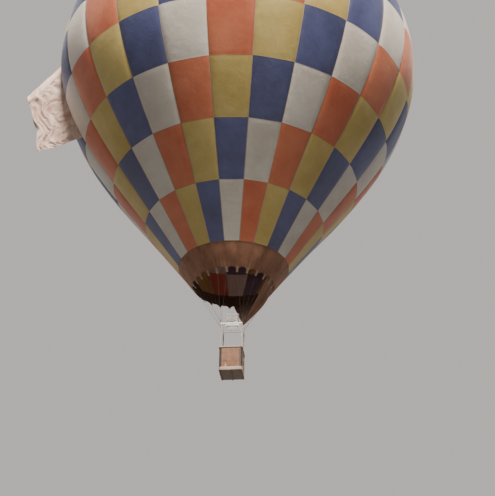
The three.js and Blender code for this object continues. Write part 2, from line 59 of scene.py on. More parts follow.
CORNERS = {"front_right": (1, -1), "back_right": (1, 1), "back_left": (-1, 1),
           "front_left": (-1, -1)}
log = logging.getLogger("balloon")


# Shapes as functions on grids


def smooth(share: np.ndarray | float) -> np.ndarray:
    """A share from 0 to 1 that leaves both ends level: 3t^2 - 2t^3."""
    t = np.clip(share, 0.0, 1.0)
    return t * t * (3 - 2 * t)


def unit(vectors: np.ndarray) -> np.ndarray:
    """Vectors of length 1."""
    return vectors / np.maximum(np.linalg.norm(vectors, axis=-1, keepdims=True), 1e-12)


def polar(angle: Any, radius: Any, z: Any) -> np.ndarray:
    """Points at an angle, a radius and a height: (r sin a, -r cos a, z)."""
    angle, radius, z = np.broadcast_arrays(angle, radius, z)
    return np.stack([radius * np.sin(angle), -radius * np.cos(angle), z], axis=-1)


def outward(angle: Any, lean: Any) -> np.ndarray:
    """The normal of a cone whose side leans outwards by lean as it rises."""
    return polar(angle, np.cos(lean), -np.sin(lean))


def steps_round(count: int) -> np.ndarray:
    """Angles at even steps round a full turn, without the last."""
    return np.arange(count) * TURN / count


def circle(sides: int, width: float = 1.0, height: float = 1.0) -> np.ndarray:
    """A section: an ellipse of these half sizes, as (side, up) points."""
    turn = steps_round(sides)
    return np.stack([width * np.cos(turn), height * np.sin(turn)], axis=-1)


def rounded(half_x: float, half_y: float, corner: float, steps: int = 4) -> np.ndarray:
    """A rectangle with round corners, as points that run anticlockwise.

    Args:
        half_x: Half the width.
        half_y: Half the depth.
        corner: The corners' radius.
        steps: Faces on each corner.

    Returns:
        (x, y) points, corner by corner.
    """
    arc = np.linspace(0, math.pi / 2, steps + 1)
    turn = (np.arange(4)[:, None] * math.pi / 2 + arc).ravel()
    centre = np.repeat([[1, 1], [-1, 1], [-1, -1], [1, -1]], steps + 1, axis=0)
    reach = np.array([half_x - corner, half_y - corner])
    return centre * reach + corner * np.stack([np.cos(turn), np.sin(turn)], axis=-1)


def even_loop(outline: np.ndarray, count: int, z: float = 0.0) -> np.ndarray:
    """Points at even steps round a flat outline, at height z, from the middle of its +Y side.

    Args:
        outline: Corners of the loop, as (x, y).
        count: How many points to give back.
        z: Their height.

    Returns:
        The points.
    """
    start = np.array([[0.0, outline[:, 1].max()]])
    first = int(np.argmax((outline[:, 0] < 0) & (outline[:, 1] > 0)))
    ring = np.concatenate([start, np.roll(outline, -first, axis=0), start])
    along = np.concatenate([[0], np.cumsum(np.linalg.norm(np.diff(ring, axis=0), axis=1))])
    at = np.arange(count) * along[-1] / count
    x, y = (np.interp(at, along, ring[:, i]) for i in (0, 1))
    return np.stack([x, y, np.full(count, z)], axis=-1)


def loop_tangents(path: np.ndarray) -> np.ndarray:
    """Directions along a closed path, from each point's neighbours."""
    return unit(np.roll(path, -1, axis=0) - np.roll(path, 1, axis=0))


def sweep(path: np.ndarray, section: np.ndarray, up: np.ndarray = UP, loop: bool = False,
          scale: Any = 1.0) -> np.ndarray:
    """A grid of points: a section carried along a path, square to it.

    The section's first number goes along tangent x up, its second along what is square to both.

    Args:
        path: Points of the path.
        section: (side, up) points, the same for each point of the path.
        up: A direction that the path never runs along, one for all or one a point.
        loop: Whether the path closes.
        scale: Size of the section, one for all or one a point.

    Returns:
        The grid, with a row for each point of the path.
    """
    tangent = loop_tangents(path) if loop else unit(np.gradient(path, axis=0))
    side = unit(np.cross(tangent, np.broadcast_to(up, path.shape)))
    over = np.cross(side, tangent)
    scale = np.broadcast_to(scale, path.shape[:1])[:, None, None]
    spread = section[None, :, :1] * side[:, None] + section[None, :, 1:] * over[:, None]
    return path[:, None] + scale * spread


def capped(grid: np.ndarray) -> np.ndarray:
    """The grid with its first and last rows closed to a point each."""
    ends = [np.repeat(row.mean(axis=0)[None], grid.shape[1], axis=0)[None] for row in grid[[0, -1]]]
    return np.concatenate([ends[0], grid, ends[1]])


def lathe(profile: Sequence[tuple[float, float]], sides: int,
          centre: Sequence[float]) -> np.ndarray:
    """A grid of points: a profile of (radius, height) turned about a vertical axis at centre."""
    line = np.array(profile)
    return polar(steps_round(sides), line[:, :1], line[:, 1:]) + np.asarray(centre)


def slab(centre: Sequence[float], size: Sequence[float], corner: float, edge: float,
         keep: tuple[Sequence[float], Sequence[float]] | None = None) -> np.ndarray:
    """A grid of points: an upright block with round corners and round edges.

    Args:
        centre: Its middle.
        size: Width, depth and height.
        corner: Radius of the upright corners.
        edge: Radius of the top and bottom edges, at most the corners'.
        keep: The strip that is cut out of it, as its low and high (x, y) from the middle.

    Returns:
        The grid, with its top and bottom closed.
    """
    x, y, z = (value / 2 for value in size)
    arc = np.linspace(0, math.pi / 2, 4)
    inset = edge * (1 - np.sin(arc))
    height = edge * (1 - np.cos(arc)) - z
    rows = [*zip(inset, height), *zip(inset[::-1], -height[::-1])]
    outlines = [rounded(x - cut, y - cut, max(corner - cut, edge * 0.2)) for cut, _ in rows]
    if keep is not None:
        outlines = [np.clip(outline, np.add(keep[0], cut), np.subtract(keep[1], cut))
                    for outline, (cut, _) in zip(outlines, rows)]
    grid = [np.insert(outline, 2, level, axis=1) for outline, (_, level) in zip(outlines, rows)]
    return capped(np.stack(grid)) + np.asarray(centre)


def metric_uv(points: np.ndarray, wrap: tuple[bool, bool]) -> np.ndarray:
    """Lengths over a grid in metres, across its columns and along its rows, each an average.

    Args:
        points: The grid.
        wrap: Whether the last row joins the first, and the last column the first.

    Returns:
        A (side, length) pair for each point.
    """
    def reach(axis: int) -> np.ndarray:
        """Length reached at each row or column."""
        steps = np.linalg.norm(np.roll(points, -1, axis=axis) - points, axis=-1).mean(axis=1 - axis)
        return np.concatenate([[0], np.cumsum(steps if wrap[axis] else steps[:-1])])
    return np.stack(np.meshgrid(reach(1), reach(0)), axis=-1)


def grid_normals(points: np.ndarray) -> np.ndarray:
    """The normals of a grid of points, along columns x along rows."""
    return unit(np.cross(np.gradient(points, axis=1), np.gradient(points, axis=0)))


def numbered(rows: int, columns: int, wrap: tuple[bool, bool]) -> np.ndarray:
    """The numbers of a grid's points, with the first row or column once more where it wraps."""
    numbers = np.arange(rows * columns).reshape(rows, columns)
    return np.pad(numbers, ((0, int(wrap[0])), (0, int(wrap[1]))), mode="wrap")


def at_corners(values: np.ndarray) -> np.ndarray:
    """What each face of a grid has at its four corners, in order round it."""
    return np.stack([values[:-1, :-1], values[:-1, 1:], values[1:, 1:], values[1:, :-1]], axis=2)


def node_box(node: str) -> tuple[np.ndarray, np.ndarray]:
    """The low and high corners of a CAD node's box."""
    low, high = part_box(node)
    return np.array(low), np.array(high)


@dataclass(frozen=True)
class Settling:
    """A short cloth simulation.

    It says how hard the cloth is blown up, how much too large it is cut, how long it settles and
    how far a point may move.
    """

    pressure: float = 0.0
    spare: float = 0.0
    frames: int = 20
    reach: float = 0.02

    def run(self, points: np.ndarray, wrap: tuple[bool, bool], held: np.ndarray) -> np.ndarray:
        """Lets cloth settle without gravity, held at its stitches, and gives its points back.

        Nothing in it is random, so each run gives the same cloth.

        Args:
            points: The cloth as a grid, with outward faces where it is blown up.
            wrap: Whether the last row joins the first, and the last column the first.
            held: Which points are stitched down.

        Returns:
            The settled grid, no point further from its start than reach.
        """
        rows, columns = points.shape[:2]
        faces = at_corners(numbered(rows, columns, wrap)).reshape(-1, 4)
        mesh = bpy.data.meshes.new("settling")
        mesh.from_pydata(points.reshape(-1, 3), [], faces.tolist())
        piece = bpy.data.objects.new("settling", mesh)
        scene = bpy.context.scene
        scene.collection.objects.link(piece)
        stitches = piece.vertex_groups.new(name="stitches")
        stitched = np.flatnonzero(np.broadcast_to(held, (rows, columns))).tolist()
        stitches.add(stitched, 1.0, "REPLACE")
        cloth = piece.modifiers.new("cloth", "CLOTH")
        cloth.settings.vertex_group_mass = stitches.name
        cloth.settings.use_pressure = self.pressure > 0
        cloth.settings.uniform_pressure_force = self.pressure
        cloth.settings.shrink_min = -self.spare
        cloth.settings.effector_weights.gravity = 0.0
        cloth.point_cache.frame_start, cloth.point_cache.frame_end = 1, self.frames
        for step in range(1, self.frames + 1):
            scene.frame_set(step)
        settled_mesh = piece.evaluated_get(bpy.context.evaluated_depsgraph_get()).to_mesh()
        after = np.empty(rows * columns * 3, dtype=np.float32)
        settled_mesh.vertices.foreach_get("co", after)
        move = after.reshape(points.shape) - points
        length = np.linalg.norm(move, axis=-1, keepdims=True)
        bpy.data.objects.remove(piece)
        bpy.data.meshes.remove(mesh)
        log.info("settled %d points, moved up to %.1f mm", rows * columns, 1000 * length.max())
        return points + move * np.minimum(1.0, self.reach / np.maximum(length, 1e-9))


class Body:
    """One mesh in the making, of closed surfaces that are each a grid of points.

    A surface's slot says which finish its faces have, and its tone how bright they are. Each is
    one value for all faces or one a face.
    """

    def __init__(self) -> None:
        """Starts with nothing in it."""
        self.parts: list[tuple[np.ndarray, ...]] = []
        self.count = 0

    def grid(self, points: np.ndarray, wrap: tuple[bool, bool] = (False, True), slot: Any = 0,
             tone: Any = 1.0) -> None:
        """Adds a surface that closes on itself or runs to a point at its ends.

        Args:
            points: Rows of points.
            wrap: Whether the last row joins the first, and the last column the first.
            slot: Which finish its faces have.
            tone: How bright its faces are.
        """
        faces = at_corners(numbered(*points.shape[:2], wrap))
        uvs = at_corners(metric_uv(points, wrap))
        self._commit(points.reshape(-1, 3), faces.reshape(-1, 4), uvs.reshape(-1, 4, 2),
                     *(np.broadcast_to(look, faces.shape[:2]).ravel() for look in (slot, tone)))

    def shell(self, outer: np.ndarray, inner: np.ndarray, loop: bool = False, slot: Any = 0,
              tone: Any = 1.0, uv: np.ndarray | None = None) -> None:
        """Adds a thin wall between two grids of points, closed at its rims.

        Args:
            outer: Points of one skin.
            inner: Points of the other, row for row and column for column.
            loop: Whether the last column joins the first.
            slot: Which finish a skin's faces have.
            tone: How bright a skin's faces are.
            uv: Lengths over a skin in metres, or None for those of metric_uv.
        """
        numbers = numbered(*outer.shape[:2], (False, loop))
        uv = metric_uv(outer, (False, loop)) if uv is None else uv
        skin, skin_uv = at_corners(numbers), at_corners(uv)
        slots, tones = (np.broadcast_to(look, skin.shape[:2]) for look in (slot, tone))
        skin, skin_uv = skin.reshape(-1, 4), skin_uv.reshape(-1, 4, 2)
        other = outer.shape[0] * outer.shape[1]
        parts = [(skin, skin_uv, slots, tones),
                 (skin[:, ::-1] + other, skin_uv[:, ::-1], slots, tones)]
        for axis in (0,) if loop else (0, 1):
            for place in (0, outer.shape[axis] - 1):
                line, line_uv = numbers.take(place, axis), uv.take(place, axis)
                a, b = line[:-1], line[1:]
                rim = np.stack([a, b, b + other, a + other], axis=-1)
                rim_uv = np.stack([line_uv[:-1], line_uv[1:], line_uv[1:], line_uv[:-1]], axis=1)
                order = slice(None, None, -1 if (place == 0) != (axis == 1) else 1)
                near = min(place, outer.shape[axis] - 2)
                parts.append((rim[:, order], rim_uv[:, order], slots.take(near, axis),
                              tones.take(near, axis)))
        faces, uvs = (np.concatenate([part[k] for part in parts]) for k in (0, 1))
        looks = (np.concatenate([part[k].ravel() for part in parts]) for k in (2, 3))
        points = np.concatenate([outer.reshape(-1, 3), inner.reshape(-1, 3)])
        self._commit(points, faces, uvs, *looks)

    def run(self, path: np.ndarray, section: np.ndarray, up: np.ndarray = UP, loop: bool = False,
            scale: Any = 1.0, slot: int = 0, tone: float = 1.0) -> None:
        """Adds a section carried along a path as sweep does, closed to a point at open ends."""
        grid = sweep(path, section, up, loop, scale)
        self.grid(grid if loop else capped(grid), (loop, True), slot, tone)

    def rod(self, start: Any, end: Any, radius: float, sides: int = 12, slot: int = 0) -> None:
        """Adds a closed round bar with slightly broken edges.

        Args:
            start: The middle of one end.
            end: The middle of the other.
            radius: Its radius.
            sides: Faces round it.
            slot: Which finish it has.
        """
        start, end = np.asarray(start, float), np.asarray(end, float)
        along = end - start
        length = np.linalg.norm(along)
        edge = min(radius, length) * 0.2 / length
        share = np.array([0, edge, 1 - edge, 1])
        up = UP if abs(unit(along)[2]) < 0.9 else ACROSS
        self.run(start + share[:, None] * along, circle(sides), up, slot=slot,
                 scale=radius * np.array([0.8, 1, 1, 0.8]))

    def turned(self, profile: Sequence[tuple[float, float]], sides: int,
               centre: Sequence[float]) -> None:
        """Adds a closed profile of (radius, height), turned about a vertical axis at centre."""
        self.grid(lathe(profile, sides, centre), (True, True))

    def _commit(self, points: np.ndarray, faces: np.ndarray, uvs: np.ndarray, slots: np.ndarray,
                tones: np.ndarray) -> None:
        """Merges points that meet, turns the surface outwards by its volume's sign and keeps it.

        Args:
            points: Points of the surface.
            faces: Four points' numbers a face.
            uvs: Four pairs a face.
            slots: A finish a face.
            tones: A brightness a face.
        """
        _, first, merged = np.unique(np.round(points, 6), axis=0, return_index=True,
                                     return_inverse=True)
        points, faces = points[first], merged.ravel()[faces]
        a, b, c, d = (points[faces[:, k]] - points[0] for k in range(4))
        volume = (np.cross(a, b) * c).sum() + (np.cross(a, c) * d).sum()
        if volume < 0:
            faces, uvs = faces[:, ::-1], uvs[:, ::-1]
        self.parts.append((points, faces + self.count, uvs, slots, tones))
        self.count += len(points)

    def make(self, name: str, finishes: "Sequence[Finish]", body: str = "root",
             replaces: Sequence[str] = (),
             sharp: float = 40.0) -> bpy.types.Object:
        """Makes the mesh and puts it on its body.

        Args:
            name: The piece's name.
            finishes: Its finishes, in the order of its faces' slots.
            body: The body that it moves with.
            replaces: CAD nodes that it stands for.
            sharp: An edge that turns by more degrees than this stays sharp.

        Returns:
            The piece, at the origin.
        """
        points, faces, uvs, slots, tones = (np.concatenate(column) for column in zip(*self.parts))
        twins = faces == np.roll(faces, -1, axis=1)
        three = twins.sum(axis=1) == 1
        keep = (twins[three].argmax(axis=1)[:, None] + [0, 2, 3]) % 4
        triangles = np.take_along_axis(faces[three], keep, axis=1)
        triangle_uvs = np.take_along_axis(uvs[three], keep[..., None], axis=1)
        four = ~twins.any(axis=1)
        mesh = bpy.data.meshes.new(name)
        mesh.from_pydata(points, [], faces[four].tolist() + triangles.tolist())
        flat = np.concatenate([uvs[four].reshape(-1, 2), triangle_uvs.reshape(-1, 2)])
        mesh.uv_layers.new(name="cloth").data.foreach_set("uv", flat.ravel())
        order = np.concatenate([np.flatnonzero(four), np.flatnonzero(three)])
        mesh.polygons.foreach_set("material_index", slots[order].astype(np.int32))
        tone = mesh.attributes.new("tone", "FLOAT", "FACE")
        tone.data.foreach_set("value", tones[order].astype(np.float32))
        for finish in finishes:
            mesh.materials.append(finish.material())
        mesh.shade_smooth()
        mesh.set_sharp_from_angle(angle=math.radians(sharp))
        piece = bpy.data.objects.new(name, mesh)
        bpy.context.scene.collection.objects.link(piece)
        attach(piece, body)
        if replaces:
            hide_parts(*replaces)
        log.info("%s: %d faces on %s", name, len(mesh.polygons), body)
        return piece


# Finishes


def hex_linear(code: str) -> tuple[float, float, float, float]:
    """The linear colour of an sRGB hex value such as #8090a0.

    Args:
        code: The hex value.

    Returns:
        Red, green, blue and alpha.
    """
    value = np.array([int(code[i:i + 2], 16) for i in (1, 3, 5)]) / 255
    linear = np.where(value <= 0.04045, value / 12.92, ((value + 0.055) / 1.055) ** 2.4)
    return (*linear.tolist(), 1.0)


def add_node(tree: bpy.types.NodeTree, kind: str, settings: dict | None = None) -> bpy.types.Node:
    """Adds a node with its settings and links.

    Args:
        tree: The material's or world's nodes.
        kind: The node's type, without its first word.
        settings: Values by the name of a property or input, or by an input's number. A node or
            an output is linked to the input instead, a node by its first output. The stops of a
            colour ramp are a list of places and hex colours.

    Returns:
        The node.
    """
    node = tree.nodes.new(f"ShaderNode{kind}")
    for key, value in (settings or {}).items():
        if isinstance(value, bpy.types.Node):
            tree.links.new(value.outputs[0], node.inputs[key])
        elif isinstance(value, bpy.types.NodeSocket):
            tree.links.new(value, node.inputs[key])
        elif key == "stops":
            elements = node.color_ramp.elements
            for index, (place, code) in enumerate(value):
                stop = elements[index] if index < len(elements) else elements.new(place)
                stop.position = place
                stop.color = hex_linear(code)
        elif isinstance(key, str) and hasattr(node, key):
            setattr(node, key, value)
        else:
            node.inputs[key].default_value = value
    return node


@dataclass(frozen=True)
class Finish:
    """A surface. Its material is made once, under its name."""

    name: str

    def material(self) -> bpy.types.Material:
        """The finish's material, made if it isn't there yet.

        Returns:
            The material.
        """
        if self.name in bpy.data.materials:
            return bpy.data.materials[self.name]
        made = bpy.data.materials.new(self.name)
        made.use_nodes = True
        tree = made.node_tree
        tree.nodes.clear()
        shader = add_node(tree, "BsdfPrincipled", self.dress(tree, add_node(tree, "TexCoord")))
        add_node(tree, "OutputMaterial", {"Surface": shader})
        return made

    def dress(self, tree: bpy.types.NodeTree, place: bpy.types.Node) -> dict:
        """The shader's colour, gloss and relief, by socket.

        Args:
            tree: The material's nodes.
            place: Its texture coordinates.

        Returns:
            Settings and links of the shader, as add_node takes them.
        """
        raise NotImplementedError

    @staticmethod
    def toned(tree: bpy.types.NodeTree, colour: bpy.types.Node) -> bpy.types.Node:
        """A colour made as bright as each face's tone says."""
        tone = add_node(tree, "Attribute", {"attribute_name": "tone"})
        return add_node(tree, "HueSaturation", {"Value": tone.outputs["Fac"], "Color": colour})


@dataclass(frozen=True)
class RipstopNylon(Finish):
    """Coated ripstop nylon, woven and then coated, which gives soft colour with a faint sheen."""

    dark: str
    light: str
    seam_every: float
    grid: float = 0.05

    def dress(self, tree: bpy.types.NodeTree, place: bpy.types.Node) -> dict:
        """Sun-faded dye, a darker lapped seam at each panel's foot, crumples and the ripstop grid.

        The real grid is 5 mm and is drawn ten times as coarse, to show from a few metres.

        Args:
            tree: The material's nodes.
            place: Its texture coordinates.

        Returns:
            Settings and links of the shader.
        """
        cloth = add_node(tree, "SeparateXYZ", {0: place.outputs["UV"]})
        fade = add_node(tree, "TexNoise", {"Scale": 0.45, "Detail": 5.0, "Roughness": 0.6,
                                           "Vector": place.outputs["Object"]})
        dye = add_node(tree, "ValToRGB", {"stops": [(0.35, self.dark), (0.65, self.light)],
                                          0: fade})
        away = add_node(tree, "Math", {"operation": "PINGPONG", 0: cloth.outputs["Y"],
                                       1: self.seam_every / 2})
        seam = add_node(tree, "MapRange", {"From Min": 0.016, "From Max": 0.03, "To Min": 1.0,
                                           "To Max": 0.0, "Value": away})
        tone = add_node(tree, "Attribute", {"attribute_name": "tone"})
        shade = add_node(tree, "Math", {"operation": "MULTIPLY_ADD", 0: seam, 1: -0.18,
                                        2: tone.outputs["Fac"]})
        colour = add_node(tree, "HueSaturation", {"Value": shade, "Color": dye})
        crumple = add_node(tree, "TexNoise", {"Scale": 3.2, "Detail": 6.0, "Roughness": 0.62,
                                              "Distortion": 0.4, "Vector": place.outputs["Object"]})
        lines = [add_node(tree, "Math", {"operation": "PINGPONG", 0: cloth.outputs[axis],
                                         1: self.grid / 2}) for axis in "XY"]
        nearest = add_node(tree, "Math", {"operation": "MINIMUM", 0: lines[0], 1: lines[1]})
        thread = add_node(tree, "MapRange", {"From Min": 0.0, "From Max": 0.006, "To Min": 1.0,
                                             "To Max": 0.0, "Value": nearest})
        relief = add_node(tree, "Math", {"operation": "MULTIPLY_ADD", 0: thread, 1: 0.02,
                                         2: crumple})
        raised = add_node(tree, "Math", {"operation": "MULTIPLY_ADD", 0: seam, 1: 0.15, 2: relief})
        bump = add_node(tree, "Bump", {"Strength": 0.55, "Distance": 0.03, "Height": raised})
        return {"Base Color": colour, "Normal": bump, "Roughness": 0.5, "Specular IOR Level": 0.35,
                "Sheen Weight": 0.12, "Sheen Roughness": 0.4, "Subsurface Weight": 0.55,
                "Subsurface Radius": (0.06, 0.045, 0.045), "Subsurface Scale": 1.0}


@dataclass(frozen=True)
class WovenCloth(Finish):
    """A plain woven cloth or tape, of aramid, polyester or cotton: matt with a visible weave."""

    dark: str
    light: str
    thread: float
    blotch: float = 1.5
    streak: float = 1.0
    relief: float = 0.3
    roughness: float = 0.85

    def dress(self, tree: bpy.types.NodeTree, place: bpy.types.Node) -> dict:
        """Soft stains, streaked along the cloth's length, and a weave of crossed threads.

        Args:
            tree: The material's nodes.
            place: Its texture coordinates.

        Returns:
            Settings and links of the shader.
        """
        stretch = add_node(tree, "Mapping", {"Scale": (1.0, 1.0, self.streak),
                                             "Vector": place.outputs["Object"]})
        stain = add_node(tree, "TexNoise", {"Scale": self.blotch, "Detail": 6.0, "Roughness": 0.65,
                                            "Vector": stretch})
        colour = add_node(tree, "ValToRGB", {"stops": [(0.3, self.dark), (0.7, self.light)],
                                             0: stain})
        waves = [add_node(tree, "TexWave", {"bands_direction": axis, "Scale": WAVE / self.thread,
                                            "Vector": place.outputs["UV"]}) for axis in "XY"]
        weave = add_node(tree, "Math", {"operation": "MULTIPLY", 0: waves[0].outputs["Fac"],
                                        1: waves[1].outputs["Fac"]})
        both = add_node(tree, "Math", {"operation": "MULTIPLY_ADD", 0: weave, 1: 0.25, 2: stain})
        bump = add_node(tree, "Bump", {"Strength": self.relief, "Distance": self.thread * 2,
                                       "Height": both})
        return {"Base Color": self.toned(tree, colour), "Normal": bump,
                "Roughness": self.roughness, "Specular IOR Level": 0.25, "Sheen Weight": 0.15}


@dataclass(frozen=True)
class Metal(Finish):
    """Drawn, spun or cast metal: a clean reflection, broken up by scratches and handling marks."""

    colour: str
    roughness: float
    grain: float = 0.004
    relief: float = 0.06

    def dress(self, tree: bpy.types.NodeTree, place: bpy.types.Node) -> dict:
        """Even colour, patchy gloss and a fine grain drawn round the piece.

        Args:
            tree: The material's nodes.
            place: Its texture coordinates.

        Returns:
            Settings and links of the shader.
        """
        marks = add_node(tree, "TexNoise", {"Scale": 9.0, "Detail": 8.0, "Roughness": 0.7,
                                            "Vector": place.outputs["Object"]})
        gloss = add_node(tree, "MapRange", {"From Min": 0.3, "From Max": 0.7, "Value": marks,
                                            "To Min": self.roughness * 0.75,
                                            "To Max": self.roughness * 1.35})
        drawn = add_node(tree, "Mapping", {"Scale": (0.12, 0.12, 1.0),
                                           "Vector": place.outputs["Object"]})
        grain = add_node(tree, "TexNoise", {"Scale": 1 / self.grain, "Detail": 3.0,
                                            "Vector": drawn})
        bump = add_node(tree, "Bump", {"Strength": self.relief, "Distance": 0.001, "Height": grain})
        return {"Base Color": hex_linear(self.colour), "Metallic": 1.0, "Roughness": gloss,
                "Normal": bump}


@dataclass(frozen=True)
class Willow(Finish):
    """Buff willow, boiled and woven: warm tan skins of differing tones, with a fine grain."""

    dark: str
    middle: str
    light: str

    def dress(self, tree: bpy.types.NodeTree, place: bpy.types.Node) -> dict:
        """Each rod's own tone, long streaks along it and weathered patches.

        Args:
            tree: The material's nodes.
            place: Its texture coordinates.

        Returns:
            Settings and links of the shader.
        """
        drawn = add_node(tree, "Mapping", {"Scale": (60.0, 4.0, 1.0),
                                           "Vector": place.outputs["UV"]})
        streaks = add_node(tree, "TexNoise", {"Scale": 1.0, "Detail": 5.0, "Roughness": 0.7,
                                              "Vector": drawn})
        worn = add_node(tree, "TexNoise", {"Scale": 3.5, "Detail": 4.0,
                                           "Vector": place.outputs["Object"]})
        mixed = add_node(tree, "Math", {"operation": "MULTIPLY", 0: streaks, 1: worn})
        colour = add_node(tree, "ValToRGB", {"stops": [(0.1, self.dark), (0.25, self.middle),
                                                       (0.45, self.light)], 0: mixed})
        bump = add_node(tree, "Bump", {"Strength": 0.35, "Distance": 0.002, "Height": streaks})
        return {"Base Color": self.toned(tree, colour), "Normal": bump, "Roughness": 0.62,
                "Specular IOR Level": 0.35}


@dataclass(frozen=True)
class Hide(Finish):
    """Tanned cowhide with its grain left on: pebbled, soft gloss, scuffed paler where it rubs."""

    dark: str
    light: str
    pebble: float = 0.008

    def dress(self, tree: bpy.types.NodeTree, place: bpy.types.Node) -> dict:
        """Scuffs over the dye, and a pebbled grain, drawn at 8 mm for the real 1 mm to show.

        Args:
            tree: The material's nodes.
            place: Its texture coordinates.

        Returns:
            Settings and links of the shader.
        """
        scuff = add_node(tree, "TexNoise", {"Scale": 4.0, "Detail": 8.0, "Roughness": 0.7,
                                            "Vector": place.outputs["Object"]})
        colour = add_node(tree, "ValToRGB", {"stops": [(0.3, self.dark), (0.68, self.light)],
                                             0: scuff})
        gloss = add_node(tree, "MapRange", {"To Min": 0.45, "To Max": 0.75, "Value": scuff})
        grain = add_node(tree, "TexVoronoi", {"Scale": 1 / self.pebble,
                                              "Vector": place.outputs["Object"]})
        bump = add_node(tree, "Bump", {"Strength": 0.3, "Distance": self.pebble / 3,
                                       "Height": grain})
        return {"Base Color": colour, "Roughness": gloss, "Normal": bump}


@dataclass(frozen=True)
class OiledTimber(Finish):
    """Oiled hardwood boards: dark, with straight grain along them."""

    dark: str
    light: str
    ring: float = 0.012

    def dress(self, tree: bpy.types.NodeTree, place: bpy.types.Node) -> dict:
        """Grain lines along the boards, 12 mm apart and wandering.

        Args:
            tree: The material's nodes.
            place: Its texture coordinates.

        Returns:
            Settings and links of the shader.
        """
        drawn = add_node(tree, "Mapping", {"Scale": (0.08, 1.0, 1.0),
                                           "Vector": place.outputs["Object"]})
        grain = add_node(tree, "TexWave", {"bands_direction": "Y", "Scale": WAVE / self.ring,
                                           "Distortion": 6.0, "Detail": 4.0, "Detail Scale": 2.0,
                                           "Vector": drawn}).outputs["Fac"]
        colour = add_node(tree, "ValToRGB", {"stops": [(0.0, self.dark), (1.0, self.light)],
                                             0: grain})
        bump = add_node(tree, "Bump", {"Strength": 0.25, "Distance": 0.002, "Height": grain})
        return {"Base Color": self.toned(tree, colour), "Normal": bump, "Roughness": 0.7}


@dataclass(frozen=True)
class Moulded(Finish):
    """Moulded rubber or baked enamel: an even colour with a fine pimpled skin."""

    colour: str
    roughness: float

    def dress(self, tree: bpy.types.NodeTree, place: bpy.types.Node) -> dict:
        """A pimpled skin with a grit of 2 mm.

        Args:
            tree: The material's nodes.
            place: Its texture coordinates.

        Returns:
            Settings and links of the shader.
        """
        grit = add_node(tree, "TexNoise", {"Scale": 500.0, "Detail": 2.0,
                                           "Vector": place.outputs["Object"]})
        bump = add_node(tree, "Bump", {"Strength": 0.2, "Distance": 0.0005, "Height": grit})
        return {"Base Color": hex_linear(self.colour), "Roughness": self.roughness, "Normal": bump}


# A wave texture of this scale has bands 1 m apart
WAVE = 0.314
PANEL_HEIGHT = 2.9


class Dye(Enum):
    """The envelope's cloth colours, in their order from gore to gore along the mouth band."""

    WHITE = RipstopNylon("nylon_white", "#d2c7bd", "#e8e0d8", PANEL_HEIGHT)
    ORANGE = RipstopNylon("nylon_orange", "#b75d40", "#cd7a5b", PANEL_HEIGHT)
    YELLOW = RipstopNylon("nylon_yellow", "#b8a05c", "#ceb978", PANEL_HEIGHT)
    BLUE = RipstopNylon("nylon_blue", "#383f68", "#4e5686", PANEL_HEIGHT)


ARAMID = WovenCloth("aramid_cloth", "#785644", "#a77c64", thread=0.02, streak=0.3)
LOAD_TAPE = WovenCloth("polyester_load_tape", "#9a8c7c", "#bbad9c", thread=0.01)
BANNER_CLOTH = WovenCloth("banner_cotton", "#a8877c", "#dacabf", thread=0.02, blotch=2.6,
                          streak=0.35)
POST_CANVAS = WovenCloth("coated_canvas", "#8b8a87", "#b2b0ab", thread=0.004, blotch=6.0,
                         relief=0.2, roughness=0.7)
LACING = WovenCloth("braided_lace", "#8c7a68", "#b5a48f", thread=0.004, blotch=8.0)
STAINLESS = Metal("stainless_satin", "#c9cbcd", 0.42)
# Stainless brightened past its own pale colour to near white: painted sunlight on the burner cans
# and valve plates, which lie in the envelope's shade
STAINLESS_PAINTED_SUNLIT = Metal("stainless_sheet_painted_sunlit", "#fafafa", 0.6)
ALLOY = Metal("spun_aluminium", "#b4b7ba", 0.38)
WIRE = Metal("stranded_wire", "#5d6064", 0.5, grain=0.002, relief=0.3)
BRASS = Metal("turned_brass", "#c9a35c", 0.3)
WILLOW = Willow("buff_willow", "#6a4f3d", "#926f59", "#aa8974")
PALE_HIDE = Hide("hide_pale", "#88766a", "#a8978b")
GREY_HIDE = Hide("hide_grey", "#857a72", "#b0a59b")
DARK_HIDE = Hide("hide_dark", "#1e1816", "#3b2d28")
DARK_TIMBER = OiledTimber("oiled_boards", "#221916", "#3d2d29")
RUBBER = Moulded("black_rubber", "#17181a", 0.6)
RED_ENAMEL = Moulded("red_enamel", "#9c2a22", 0.35)


def dress_node(node: str, finish: Finish) -> None:
    """Gives a CAD node its finish.

    Args:
        node: The node's name.
        finish: What it is made of.
    """
    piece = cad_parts[node]
    piece.data.materials.clear()
    piece.data.materials.append(finish.material())
    log.info("%s: %s", node, finish.name)


# The shape of the cloth


